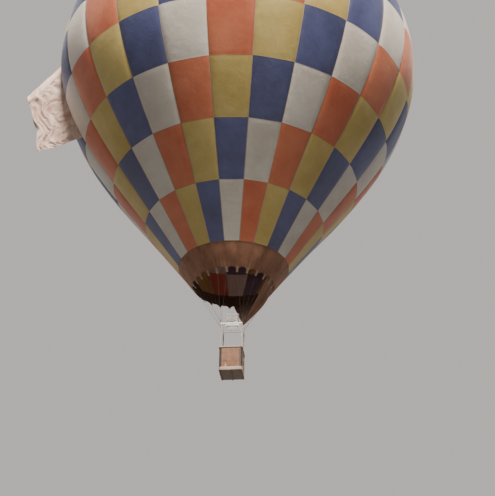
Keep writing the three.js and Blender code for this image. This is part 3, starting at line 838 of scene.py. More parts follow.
@dataclass(frozen=True)
class Fabric:
    """The envelope's shape: tapes on a natural-shape meridian, and lobes of cloth between them."""

    gores: int = 24
    first_seam: float = math.radians(-3)
    cone: float = math.radians(37)
    skirt_radius: float = 2.73
    cone_top_radius: float = 4.87
    pressure_rise: float = 1.548e-3
    vent_radius: float = 2.2
    vent_overlap: float = 0.45
    lobe_depth: float = 0.075
    lobe_rise: float = 6.0
    lobe_fall: float = 3.0
    flank_part: float = 0.4
    flank_power: float = 10.0
    band_length: float = 1.48
    thickness: float = 0.010
    gap: float = 0.0003
    step: float = 0.01

    def __post_init__(self) -> None:
        """Works out the meridian.

        It is straight up to the cone's top. Above it the air's pressure grows with height, so the
        tape bends, for each metre, by height times radius times pressure_rise.
        """
        cone_height = (self.cone_top_radius - self.skirt_radius) / math.tan(self.cone)
        s, radius, height, lean = 0.0, self.skirt_radius, 0.0, self.cone
        rows = []
        while radius > self.vent_radius or lean > 0:
            rows.append((s, radius, height, lean))
            lean -= self.step * self.pressure_rise * max(height - cone_height, 0.0) * radius
            radius += self.step * math.sin(lean)
            height += self.step * math.cos(lean)
            s += self.step
        line = np.array(rows)
        object.__setattr__(self, "line", line)
        object.__setattr__(self, "vent_edge", float(line[-1, 0]))
        object.__setattr__(self, "skirt_z", -float(line[line[:, 1].argmax(), 2]))

    def seam_angle(self, seam: Any) -> Any:
        """The angle of a seam, counted from 0 at the front."""
        return self.first_seam + np.asarray(seam) * TURN / self.gores

    def tape(self, s: Any) -> tuple[np.ndarray, np.ndarray, np.ndarray]:
        """Radius, height and lean of a tape at length s; the band's cone is below 0.

        Args:
            s: Length along the tape.

        Returns:
            The radius, the height and the lean.
        """
        below = np.minimum(s, 0.0)
        radius, height, lean = (np.interp(s, self.line[:, 0], self.line[:, k]) for k in (1, 2, 3))
        radius = radius + below * math.sin(self.cone)
        return radius, self.skirt_z + height + below * math.cos(self.cone), lean

    def chord(self, s: Any) -> np.ndarray:
        """Straight distance between two neighbouring tapes."""
        return 2 * self.tape(s)[0] * math.sin(math.pi / self.gores)

    def fullness(self, s: Any) -> np.ndarray:
        """From 0 at the band and at the vent to 1 where the lobes are full."""
        to_vent = self.vent_edge - self.vent_overlap - s
        return smooth(np.asarray(s) / self.lobe_rise) * smooth(to_vent / self.lobe_fall)

    def point(self, seam: Any, u: Any, s: Any, lift: Any = 0.0, bulge: Any = 0.0) -> np.ndarray:
        """Points of the cloth between a seam and the next.

        Straight between the tapes, plus a lobe that is an arc with steeper flanks, 4u(1-u) mixed
        with 1-|2u-1|^10.

        Args:
            seam: The gore's first seam.
            u: Share across the gore.
            s: Length along the tape.
            lift: Distance out of the cloth, square to it.
            bulge: What the middle of the gore stands out besides its lobe.

        Returns:
            The points.
        """
        seam, u, s, lift, bulge = np.broadcast_arrays(seam, u, s, lift, bulge)
        radius, z, lean = self.tape(s)
        start, end = (polar(self.seam_angle(seam + k), radius, z) for k in (0, 1))
        flank = 1 - np.abs(2 * u - 1) ** self.flank_power
        arc = (1 - self.flank_part) * 4 * u * (1 - u) + self.flank_part * flank
        lobe = self.lobe_depth * self.chord(s) * self.fullness(s) * arc + bulge
        points = start * (1 - u[..., None]) + end * u[..., None]
        points = points + outward(self.seam_angle(seam + 0.5), lean) * lobe[..., None]
        return points + outward(self.seam_angle(seam + u), lean) * lift[..., None]

    def skins(self, seam: Any, u: Any, s: Any, lifts: Sequence[float],
              bulge: Any = 0.0) -> list[np.ndarray]:
        """The cloth's points at each of some distances out of it, as point gives them."""
        return [self.point(seam, u, s, lift, bulge) for lift in lifts]


def settled(seed: int, shape: Sequence[int]) -> np.ndarray:
    """Numbers from -1 to 1 that are the same in each run."""
    return np.random.default_rng(seed).uniform(-1, 1, shape)


@dataclass
class Envelope:
    """The gores and the load tapes over their seams."""

    fabric: Fabric
    rows_per_panel: int = 24
    columns: int = 16
    pucker: float = 0.007
    pucker_wave: float = 0.47
    pucker_reach: float = 0.17
    pucker_start: float = 0.05
    swell_wave: float = 3.7
    seam_pull: float = 0.008
    seam_reach: float = 0.06
    slack: float = 0.014
    tone_range: float = 0.035
    tape_width: float = 0.030
    tape_lifts: tuple[float, float] = (0.0035, 0.0005)
    tape_past_band: float = 0.035
    tape_step: float = 0.12
    rim_width: float = 0.14
    rim_lifts: tuple[float, float] = (0.0024, 0.0003)

    def __post_init__(self) -> None:
        """Rows along the gores, one on each panel seam, and columns closer near the tapes."""
        step = PANEL_HEIGHT / self.rows_per_panel
        whole = np.arange(0, self.fabric.vent_edge - step / 3, step)
        self.rows = np.append(whole, self.fabric.vent_edge)
        self.shares = 0.5 - 0.5 * np.cos(np.linspace(0, math.pi, self.columns + 1))
        count = (self.fabric.gores, int(self.fabric.vent_edge // PANEL_HEIGHT) + 2)
        self.panel_slack = settled(11, count)
        self.panel_tone = 1 + self.tone_range * settled(12, count)
        self.phases = math.pi * settled(13, (self.fabric.gores, 4))

    def relief(self, seam: int, u: np.ndarray, s: np.ndarray) -> np.ndarray:
        """Small relief of one gore: puckers beside its tapes, pulled seams, each panel's slack.

        Puckers are waves along the tape that grow from nothing at it and die out beside it.

        Args:
            seam: The gore's first seam.
            u: Share across the gore.
            s: Length along the tape.

        Returns:
            What the cloth stands out besides its lobe.
        """
        chord = self.fabric.chord(s)
        phase = self.phases[seam]
        waves = np.zeros_like(s)
        for distance, (first, second) in ((u * chord, phase[:2]), ((1 - u) * chord, phase[2:])):
            near = np.exp(-distance / self.pucker_reach)
            near = near * (1 - np.exp(-(distance / self.pucker_start) ** 2))
            swell = 0.6 + 0.4 * np.sin(TURN * s / self.swell_wave + second)
            waves += near * swell * np.sin(TURN * s / self.pucker_wave + first)
        row = np.minimum(s / PANEL_HEIGHT, self.panel_slack.shape[1] - 1)
        pull = np.exp(-((row - np.round(row)) * PANEL_HEIGHT / self.seam_reach) ** 2)
        own = self.panel_slack[seam, row.astype(int)] * np.sin(math.pi * (row % 1))
        across = np.sin(math.pi * u)
        total = self.pucker * waves + (self.slack * own - self.seam_pull * pull) * across
        return total * smooth(s / 1.5) * self.fabric.fullness(np.maximum(s, 4.0))

    def gore(self, seam: int) -> None:
        """One gore: its panels take their dyes in turn, stepping back by one from row to row.

        Args:
            seam: The gore's first seam.
        """
        s, u = np.meshgrid(self.rows, self.shares, indexing="ij")
        outer, inner = self.fabric.skins(seam, u, s, (0.0, -self.fabric.thickness),
                                         self.relief(seam, u, s))
        uv = np.stack([(u - 0.5) * self.fabric.chord(s), s], axis=-1)
        row = (np.arange(len(self.rows) - 1) // self.rows_per_panel)[:, None]
        dyes = list(Dye)
        body = Body()
        body.shell(outer, inner, uv=uv, slot=(seam - row) % len(dyes),
                   tone=self.panel_tone[seam, row])
        body.make(f"gore_cloth_{seam + 1:02d}", [dye.value for dye in dyes],
                  replaces=[f"gore_{seam + 1:02d}"])

    def tape_row(self, seam: int, s: np.ndarray, side: float, lift: float) -> np.ndarray:
        """Points along a seam, side metres beside it on the cloth and lift metres above it.

        Args:
            seam: The seam.
            s: Length along the tape.
            side: Distance beside the seam, below 0 on the gore before it.
            lift: Distance out of the cloth.

        Returns:
            The points.
        """
        share = abs(side) / self.fabric.chord(s)
        if side < 0:
            return self.fabric.point(seam - 1, 1 - share, s, lift)
        return self.fabric.point(seam, share, s, lift)

    def tapes(self, dome: np.ndarray) -> None:
        """Load tapes from below the band's foot over the seams and the vent to the crown ring.

        Args:
            dome: The tapes' line from the vent's edge to the ring, as (radius, height).
        """
        body = Body()
        half = self.tape_width / 2
        below = np.arange(-self.fabric.band_length - self.tape_past_band, 0, self.tape_step)
        s = np.concatenate([below, self.rows])
        slot = (np.arange(len(s) + len(dome) - 1) < len(below))[:, None].astype(int)
        for seam in range(self.fabric.gores):
            angle = self.fabric.seam_angle(seam)
            aside = polar(angle + math.pi / 2, 1.0, 0.0)
            skins = []
            for lift in self.tape_lifts:
                columns = []
                for side in (-half, 0.0, half):
                    over = polar(angle, dome[:, 0], dome[:, 1] + lift) + side * aside
                    columns.append(np.concatenate([self.tape_row(seam, s, side, lift), over]))
                skins.append(np.stack(columns, axis=1))
            body.shell(*skins, slot=slot)
        s, seams = np.meshgrid([self.fabric.vent_edge - self.rim_width, self.fabric.vent_edge],
                               np.arange(self.fabric.gores), indexing="ij")
        body.shell(*self.fabric.skins(seams, 0.0, s, self.rim_lifts), loop=True)
        body.make("load_tapes", [LOAD_TAPE, ARAMID], replaces=["crown_web"])

    def build(self, dome: np.ndarray) -> None:
        """Makes all gores and tapes.

        Args:
            dome: The tapes' line over the vent, as tapes takes it.
        """
        for seam in range(self.fabric.gores):
            self.gore(seam)
        self.tapes(dome)


@dataclass
class Crown:
    """The parachute vent and the way over it to the crown ring."""

    fabric: Fabric
    ring_radius: float = 0.2
    ring_half: float = 0.015
    ring_height: float = 0.024
    patch_radius: float = 0.45
    swell: float = 0.035
    rings: int = 26
    laid_rings: int = 5
    columns: int = 10

    def __post_init__(self) -> None:
        """The dome goes on from the gores' slope at the vent's edge and levels out inwards."""
        self.rim = self.fabric.vent_edge - self.fabric.vent_overlap
        radius, self.edge_heights, _ = self.fabric.tape(np.array([self.rim, self.fabric.vent_edge]))
        self.rim_radius, self.edge_radius = radius.tolist()
        slope = (self.edge_heights[1] - self.edge_heights[0]) / (radius[1] - radius[0])
        self.rise = -self.edge_radius * float(slope) / 2

    def height(self, radius: np.ndarray) -> np.ndarray:
        """Height of the dome: edge height + rise (1 - (r / edge radius)^2)."""
        return self.edge_heights[1] + self.rise * (1 - (radius / self.edge_radius) ** 2)

    def tape_line(self) -> np.ndarray:
        """The tapes' line over the vent, up the crown ring's outside and onto its top.

        Returns:
            (radius, height) points.
        """
        radius = np.linspace(self.edge_radius - 0.02, self.ring_radius + 0.06, 24)
        dome = np.stack([radius, self.height(radius) + 0.002], axis=-1)
        top = node_box("crown_ring")[1][2]
        out, inside = self.ring_radius + self.ring_half, self.ring_radius - self.ring_half
        fold = [(out + 0.012, top - self.ring_height), (out + 0.005, top - 0.01),
                (out - 0.002, top + 0.003), (inside + 0.004, top + 0.003)]
        return np.concatenate([dome, fold])

    def build(self) -> None:
        """The vent panel and the ring over it.

        The panel is rings of gore-wide pieces that swell up between the tapes, with a patch in the
        middle. Its edge lies flat under the gores.
        """
        laid = np.linspace(self.rim_radius, self.edge_radius, self.laid_rings)
        open_part = np.linspace(self.edge_radius, 0.0, self.rings + 1)[1:]
        radius = np.concatenate([laid, open_part])
        lengths = np.concatenate([np.linspace(self.rim, self.fabric.vent_edge, self.laid_rings),
                                  self.fabric.vent_edge + self.edge_radius - open_part])
        under_gores = np.interp(lengths, [self.rim, self.fabric.vent_edge], self.edge_heights)
        height = np.where(radius >= self.edge_radius, under_gores, self.height(radius))
        u = np.arange(self.fabric.gores * self.columns) / self.columns
        share = radius[:, None] / self.edge_radius
        swell = smooth((1 - share) * 3) * smooth(share * 3) * np.sin(math.pi * (u % 1)) ** 2
        under = self.fabric.thickness + self.fabric.gap
        beside = (u % 1 - 0.5) * TURN / self.fabric.gores
        flat = np.cos(math.pi / self.fabric.gores) / np.cos(beside)
        skins = [polar(self.fabric.seam_angle(u), radius[:, None] * flat,
                       height[:, None] + self.swell * swell - under - depth)
                 for depth in (0, self.fabric.thickness)]
        row = ((lengths[:-1] + lengths[1:]) / 2 // PANEL_HEIGHT).astype(int)[:, None]
        slot = (np.floor(u).astype(int)[None] - row) % len(Dye)
        slot = np.where((radius[:-1] <= self.patch_radius)[:, None], 0, slot)
        around = np.append(u, self.fabric.gores)[None] * TURN / self.fabric.gores
        around = around * np.maximum(radius, 0.3)[:, None]
        uv = np.stack([around, np.broadcast_to(lengths[:, None], around.shape)], axis=-1)
        body = Body()
        body.shell(*skins, loop=True, slot=slot, uv=uv)
        body.make("vent_cloth", [dye.value for dye in Dye], "vent", ["vent_panel"])
        dress_node("crown_ring", ALLOY)


@dataclass
class Mouth:
    """The brown band with a tab at each tape, and the scoop below its right and back."""

    fabric: Fabric
    scallop: float = 0.25
    scallop_power: float = 3.0
    billow: float = 0.03
    slack_reach: float = 0.7
    fold: float = 0.012
    fold_reach: float = 0.4
    folds: int = 3
    columns: int = 14
    rows: int = 22
    hem: float = 0.045
    hem_lifts: tuple[float, float] = (0.0035, 0.0004)
    hem_tone: float = 0.82
    tab_width: float = 0.12
    tab_height: float = 0.27
    tab_lifts: tuple[float, float] = (0.0068, 0.0042)
    scoop_first: float = 4.5
    scoop_last: float = 12.5
    scoop_lap: float = 0.3
    scoop_end: float = 0.965
    scoop_fold: float = 0.03
    scoop_folds_per_seam: float = 1.5
    scoop_rows: int = 48
    scoop_columns: int = 97
    scoop_edge: float = 0.011
    edge_tone: float = 0.8
    tip: tuple[float, float] = (0.515, 0.04)
    tip_below: float = 3.115
    swell_seam: float = 6.5
    swell_depth: float = 0.22
    swell_reach: float = 0.2
    swell_spread: float = 1.3
    swell_power: float = 0.8
    rail: tuple[float, float] = (0.5, 0.06)
    rail_below: float = 0.03
    strap_half: float = 0.0215

    def foot(self, u: np.ndarray) -> np.ndarray:
        """Length along the tape at the band's foot: lowest at the tapes, arched between them."""
        arch = 1 - np.abs(2 * u - 1) ** self.scallop_power
        return self.scallop * arch - self.fabric.band_length

    def relief(self, u: np.ndarray, s: np.ndarray, foot: np.ndarray) -> np.ndarray:
        """A slack arch between the tapes, and folds that fan out of the tabs and fade upwards.

        Args:
            u: Share across the gore.
            s: Length along the tape.
            foot: Where the band ends, as a length along the tape.

        Returns:
            What the band stands out.
        """
        slack = self.billow * 4 * u * (1 - u) * smooth(-s / self.slack_reach)
        near = np.exp(-(s - foot) / self.fold_reach)
        waves = np.cos(TURN * self.folds * (u - 0.5)) * np.sin(math.pi * u)
        return slack + self.fold * near * waves

    def band(self) -> None:
        """The band, with a doubled hem along its scalloped foot and along its top."""
        around = np.arange(self.fabric.gores * self.columns) / self.columns
        seam, u = np.floor(around), around % 1
        foot = self.foot(u)[None]
        body = Body()
        full = foot + (-self.fabric.gap - foot) * np.linspace(0, 1, self.rows + 1)[:, None]
        inset = np.array([0.02, 0.5, 0.98])[:, None]
        lower, upper = foot + self.hem * inset, -self.hem + (self.hem - 0.002) * inset
        for s, lifts, tone in ((full, (0.0, -self.fabric.thickness), 1.0),
                               (lower, self.hem_lifts, self.hem_tone),
                               (upper + 0 * foot, self.hem_lifts, self.hem_tone)):
            skins = self.fabric.skins(seam, u, s, lifts, self.relief(u, s, foot))
            body.shell(*skins, loop=True, tone=tone)
        self.tabs(body)
        body.make("band_cloth", [ARAMID, LOAD_TAPE], replaces=["mouth_band"])

    def tabs(self, body: Body) -> None:
        """A pale tab of doubled webbing over the foot of each tape, which takes the wire's ring.

        Args:
            body: The band in the making.
        """
        s = (self.tab_height * np.linspace(0, 1, 6) - self.fabric.band_length - 0.02)[:, None]
        share = self.tab_width / 2 / self.fabric.chord(s)
        for seam in range(self.fabric.gores):
            left = self.fabric.skins(seam - 1, 1 - share * [1.0, 0.5], s, self.tab_lifts)
            right = self.fabric.skins(seam, share * [0.0, 0.5, 1.0], s, self.tab_lifts)
            body.shell(*(np.concatenate(pair, axis=1) for pair in zip(left, right)), slot=1)

    def scoop_point(self, seam: np.ndarray, share: np.ndarray, depth: float) -> np.ndarray:
        """Points of the scoop: on the band to its foot, then straight to the tip inside the wires.

        The air billows it out between the two wires of its middle, and it hangs in folds that run
        to the tip.

        Args:
            seam: Place around the mouth, counted in seams.
            share: From -1 at the top of the lap to 0 at the band's foot and 1 at the tip.
            depth: Distance inside its outer skin.

        Returns:
            The points.
        """
        inset = self.fabric.thickness + 2 * self.fabric.gap + depth
        s = self.scoop_lap * np.maximum(-share, 0) - self.fabric.band_length
        hung = np.maximum(share, 0)
        start = self.fabric.point(np.floor(seam), seam % 1, s, -inset)
        angle = self.fabric.seam_angle(seam)
        tip = np.array([*self.tip, self.fabric.skirt_z - self.tip_below])
        end = tip - outward(angle, self.fabric.cone) * depth
        reach = self.swell_reach + self.swell_spread * hung
        across = np.maximum(1 - ((seam - self.swell_seam) / reach) ** 2, 0)
        swell = self.swell_depth * np.sin(math.pi * hung**self.swell_power) * across
        waves = np.cos(TURN * self.scoop_folds_per_seam * seam + 2.0 * hung)
        folds = (waves - 1) / 2 * np.sin(math.pi * hung) ** 1.5
        points = start * (1 - hung[..., None]) + end * hung[..., None]
        return points + polar(angle, swell + self.scoop_fold * folds, 0.0)

    def scoop(self) -> None:
        """The scoop, its doubled edges, and the strap from its tip round the frame's rail."""
        hung = np.linspace(0, self.scoop_end, self.scoop_rows)[1:]
        places = np.linspace(self.scoop_first, self.scoop_last, self.scoop_columns)
        share, seam = np.meshgrid(np.concatenate([np.linspace(-1, 0, 6), hung]), places,
                                  indexing="ij")
        body = Body()
        body.shell(*(self.scoop_point(seam, share, depth)
                     for depth in (0.0, self.fabric.thickness)))
        middle = self.fabric.thickness / 2
        edge = circle(8, self.scoop_edge, self.scoop_edge)
        for at in (self.scoop_first, self.scoop_last):
            path = self.scoop_point(np.full(share.shape[0], at), share[:, 0], middle)
            body.run(path[::2], edge, tone=self.edge_tone)
        path = self.scoop_point(seam[0], np.full(seam.shape[1], self.scoop_end), middle)
        body.run(path, edge, np.array([0, 0.3, 1.0]), tone=self.edge_tone)
        rail = np.array([*self.rail, node_box("burner_frame")[1][2] - self.rail_below])
        around = np.insert(rounded(self.strap_half, self.strap_half, 0.004), 1, 0.0, axis=1) + rail
        body.run(around, rounded(0.0012, 0.012, 0.001, 2), BACK, loop=True, slot=1)
        start = path[len(path) // 2]
        strap = np.linspace(0, 1, 6)[:, None] * (rail + (self.strap_half + 0.001) * UP - start)
        body.run(start + strap, rounded(0.012, 0.0015, 0.0012, 2), ACROSS, slot=1)
        body.make("scoop_cloth", [ARAMID, LOAD_TAPE], replaces=["scoop"])

    def build(self) -> None:
        """Makes the band and the scoop."""
        self.band()
        self.scoop()


@dataclass
class Rigging:
    """Stainless wires from the band's tabs, six to each corner of the burner frame."""

    fabric: Fabric
    corner_offset: float = 0.495
    wire: float = 0.003
    tab_inset: float = 0.012
    gather: float = 0.052
    ferrule: float = 0.0055
    ferrule_length: float = 0.05
    ferrule_ends: tuple[float, float] = (0.035, 0.03)
    end_ring: float = 0.016
    hook_height: float = 0.067
    hook_wire: float = 0.005
    hook_half_width: float = 0.02

    def hook(self, body: Body, foot: np.ndarray) -> None:
        """Adds a closed oval hook that stands across the corner.

        Args:
            body: The wires in the making.
            foot: Its lowest point.
        """
        turn = steps_round(28)[:, None]
        aside = unit(np.array([-foot[1], foot[0], 0.0]))
        half = self.hook_height / 2
        path = (np.cos(turn) * aside * self.hook_half_width
                + np.sin(turn) * UP * (half - self.hook_wire))
        body.run(foot + half * UP + path, circle(8, self.hook_wire, self.hook_wire),
                 unit(foot * [1, 1, 0]), loop=True)

    def corner(self, name: str, first: int) -> None:
        """The wires of one corner, with their hook, sleeves and end rings.

        Args:
            name: The corner.
            first: The first of its six seams.
        """
        low = node_box(f"wires_{name}")[0][2]
        at = np.multiply(CORNERS[name], self.corner_offset)
        body = Body()
        self.hook(body, np.array([*at, low - 0.001]))
        start = np.array([*at, low + self.gather])
        for seam in range(first, first + self.fabric.gores // 4):
            tab = self.fabric.point(seam, 0.0, -self.fabric.band_length - self.tab_inset,
                                    -self.fabric.thickness / 2)
            along = unit(tab - start)
            share = np.array([0, 0.3, 0.6, 1.0])
            body.run(start + share[:, None] * (tab - start), circle(8), scale=self.wire)
            far = np.linalg.norm(tab - start) - self.ferrule_ends[1] - self.ferrule_length
            for near in (self.ferrule_ends[0], far):
                body.rod(start + along * near, start + along * (near + self.ferrule_length),
                         self.ferrule, 10)
            turn = steps_round(20)[:, None]
            side = unit(np.cross(along, UP))
            over = np.cross(side, along)
            ring = tab + self.end_ring * (np.cos(turn) * along + np.sin(turn) * over)
            body.run(ring, circle(6, 0.003, 0.003), side, loop=True)
        body.make(f"rigging_{name}", [WIRE], replaces=[f"wires_{name}"])

    def build(self) -> None:
        """Makes the wires of the four corners."""
        for index, name in enumerate(CORNERS):
            self.corner(name, index * self.fabric.gores // 4 + 1)


@dataclass
class Burner:
    """Two burners, each with a valve block, a slotted can and its coils, and the frame's fittings.

    A block's fittings are rods, each with its start and end from the foot of the block's front,
    its radius, its sides and its slot. X runs away from the other burner.
    """

    slots: int = 24
    slot_share: float = 0.45
    slot_heights: tuple[float, float] = (0.03, 0.1)
    can_radius: float = 0.145
    can_wall: float = 0.0045
    coil_tube: float = 0.0075
    coil_turns: int = 10
    coil_height: float = 0.4
    coils: tuple[tuple[float, float], ...] = ((0.118, 0.0), (0.094, math.pi))
    jet_ring: float = 0.066
    jets: int = 8
    bead_heights: tuple[float, ...] = (0.12, 0.30)
    bead: float = 0.004
    base_plate: float = 0.008
    top_plate: float = 0.012
    neck_plate: tuple[float, float] = (0.135, 0.008)
    bolt_inset: tuple[float, float] = (0.046, 0.06)
    fittings: tuple[tuple, ...] = (
        ((0.0, 0.01, 0.075), (0.0, -0.034, 0.075), 0.021, 20, 2),
        ((0.0, -0.03, 0.075), (0.0, -0.046, 0.075), 0.012, 6, 2),
        ((0.0, -0.038, 0.075), (0.055, -0.05175, 0.0145), 0.005, 8, 1),
        ((0.045, -0.04925, 0.0255), (0.10, -0.063, -0.035), 0.011, 14, 3),
        ((-0.034, 0.005, 0.03), (-0.034, -0.022, 0.03), 0.023, 24, 1),
        ((-0.034, -0.0215, 0.03), (-0.034, -0.0235, 0.03), 0.019, 24, 3),
        ((-0.036, 0.005, 0.1), (-0.036, -0.03, 0.1), 0.006, 8, 2),
        ((-0.036, -0.024, 0.1), (-0.036, -0.036, 0.1), 0.015, 10, 4),
    )
    inlet: tuple[float, float] = (0.05, 0.03)
    inlet_heights: tuple[float, float] = (0.035, 0.1)
    frame_half: float = 0.52
    corner_offset: float = 0.495
    pivot_height: float = 0.055

    def can(self, side: str) -> None:
        """A spun can: base, slotted foot, wall with beads and a rolled lip, and two coils inside.

        Args:
            side: Left or right.
        """
        low, high = node_box(f"burner_can_{side}")
        centre = np.array([*(low[:2] + high[:2]) / 2, low[2]])
        height = high[2] - low[2]
        outer, inner = self.can_radius, self.can_radius - self.can_wall
        body = Body()
        base = [(0, 0), (outer - 0.004, 0), (outer - 0.001, 0.004), (outer - 0.006, 0.006),
                (0, 0.006)]
        body.grid(lathe(base, 48, centre))
        foot = [(inner, 0.002), (outer, 0.002), (outer, 0.034), (inner, 0.034)]
        body.turned(foot, 72, centre)
        width = TURN / self.slots * self.slot_share
        for start in steps_round(self.slots):
            angle = start + np.array([0, width / 2, width])
            heights = np.array(self.slot_heights)[:, None]
            body.shell(*(polar(angle, radius, heights) + centre for radius in (outer, inner)))
        beads = [(outer + out, z + up) for z in self.bead_heights
                 for out, up in ((0, 0), (self.bead, 0.008), (0, 0.016))]
        wall = [(outer, 0.098), *beads, (outer, height - 0.012), (outer + 0.003, height - 0.006),
                (outer, height), (inner - 0.002, height - 0.003), (inner, height - 0.012),
                (inner, 0.098)]
        body.turned(wall, 72, centre)
        weld = centre + polar(0.6, outer + 0.0005, np.linspace(0.14, 0.295, 12))
        body.run(weld, circle(6, 0.004, 0.0015), ACROSS)
        for radius, start in self.coils:
            turn = np.linspace(0, self.coil_turns * TURN, self.coil_turns * 30)
            path = centre + polar(turn + start, radius, 0.035 + self.coil_height * turn / turn[-1])
            body.run(path, circle(8, self.coil_tube, self.coil_tube), slot=1)
        ring = centre + polar(steps_round(40), self.jet_ring, 0.03)
        body.run(ring, circle(8, 0.009, 0.009), loop=True, slot=1)
        for angle in steps_round(self.jets):
            root = centre + polar(angle, self.jet_ring, 0.036)
            body.rod(root, root + 0.014 * UP, 0.005, 8, 2)
        body.rod(centre + 0.005 * UP, centre + 0.06 * UP, 0.016, 12, 2)
        # The cans' sheet takes the near-white stainless: painted sunlight on the stainless's own
        # pale colour
        body.make(f"burner_shroud_{side}", [STAINLESS_PAINTED_SUNLIT, STAINLESS, BRASS], "burner",
                  [f"burner_can_{side}"])

    def block(self, side: str) -> None:
        """A valve block: body, plates, tie bolts, blast valve and lever, gauge, tap and inlets.

        Args:
            side: Left or right.
        """
        low, high = node_box(f"burner_block_{side}")
        out = np.array([1 if side == "right" else -1, 1, 1])
        foot = np.array([*(low[:2] + high[:2]) / 2, low[2]])
        front = np.array([foot[0], low[1], low[2]])
        top = high[2] - low[2]
        body = Body()
        body.grid(slab(foot + 0.066 * UP, (0.116, 0.146, 0.12), 0.012, 0.004))
        for z, thick in ((self.base_plate / 2, self.base_plate),
                         (top - self.top_plate / 2, self.top_plate), self.neck_plate):
            body.grid(slab(foot + z * UP, (0.12, 0.15, thick), 0.02, 0.0015), slot=1)
        body.rod(foot + 0.13 * UP, foot + (top - 0.01) * UP, 0.034, 20, 1)
        for corner in CORNERS.values():
            at = foot + [*np.multiply(corner, self.bolt_inset), 0]
            body.rod(at + 0.13 * UP, at + (top - 0.005) * UP, 0.006, 8, 1)
            body.rod(at - 0.0002 * UP, at + 0.144 * UP, 0.008, 6, 1)
        for start, end, radius, sides, slot in self.fittings:
            body.rod(front + out * start, front + out * end, radius, sides, slot)
        for z in self.inlet_heights:
            inlet = foot + out * [*self.inlet, z]
            body.rod(inlet, inlet + out * [0.028, 0, 0], 0.011, 6, 2)
            body.rod(inlet + out * [0.02, 0, 0], inlet + out * [0.045, 0, 0], 0.008, 12, 2)
        body.make(f"valve_block_{side}", [ALLOY, STAINLESS_PAINTED_SUNLIT, BRASS, RUBBER, RED_ENAMEL],
                  "burner", [f"burner_block_{side}"])

    def fit_frame(self) -> None:
        """Welded collars at the frame's corners, and pivot caps on the frame and the ring."""
        low, high = node_box("burner_frame")
        level = low[2] + self.pivot_height
        body = Body()
        for corner in CORNERS.values():
            for z in (high[2] - 0.014, low[2] + 0.012):
                body.turned([(0.0385, -0.005), (0.042, 0), (0.0385, 0.005)], 24,
                            (*np.multiply(corner, self.corner_offset), z))
        ring = node_box("gimbal_ring")[1][1]
        caps = Body()
        for out in (-1, 1):
            face = np.array([out * self.frame_half, 0, level])
            body.rod(face, face + out * 0.008 * ACROSS, 0.017, 24)
            body.rod(face + out * 0.007 * ACROSS, face + out * 0.016 * ACROSS, 0.011, 6)
            face = np.array([0.0, out * ring, level])
            caps.rod(face, face + out * 0.006 * BACK, 0.015, 24)
            caps.rod(face + out * 0.005 * BACK, face + out * 0.013 * BACK, 0.01, 6)
        body.make("frame_fittings", [STAINLESS], sharp=30)
        caps.make("gimbal_caps", [STAINLESS], "gimbal", sharp=30)

    def build(self) -> None:
        """Makes both burners, and finishes the frame, the ring and the cross."""
        for side in ("left", "right"):
            self.can(side)
            self.block(side)
        self.fit_frame()
        for node in ("burner_frame", "gimbal_ring", "burner_cross"):
            dress_node(node, STAINLESS)


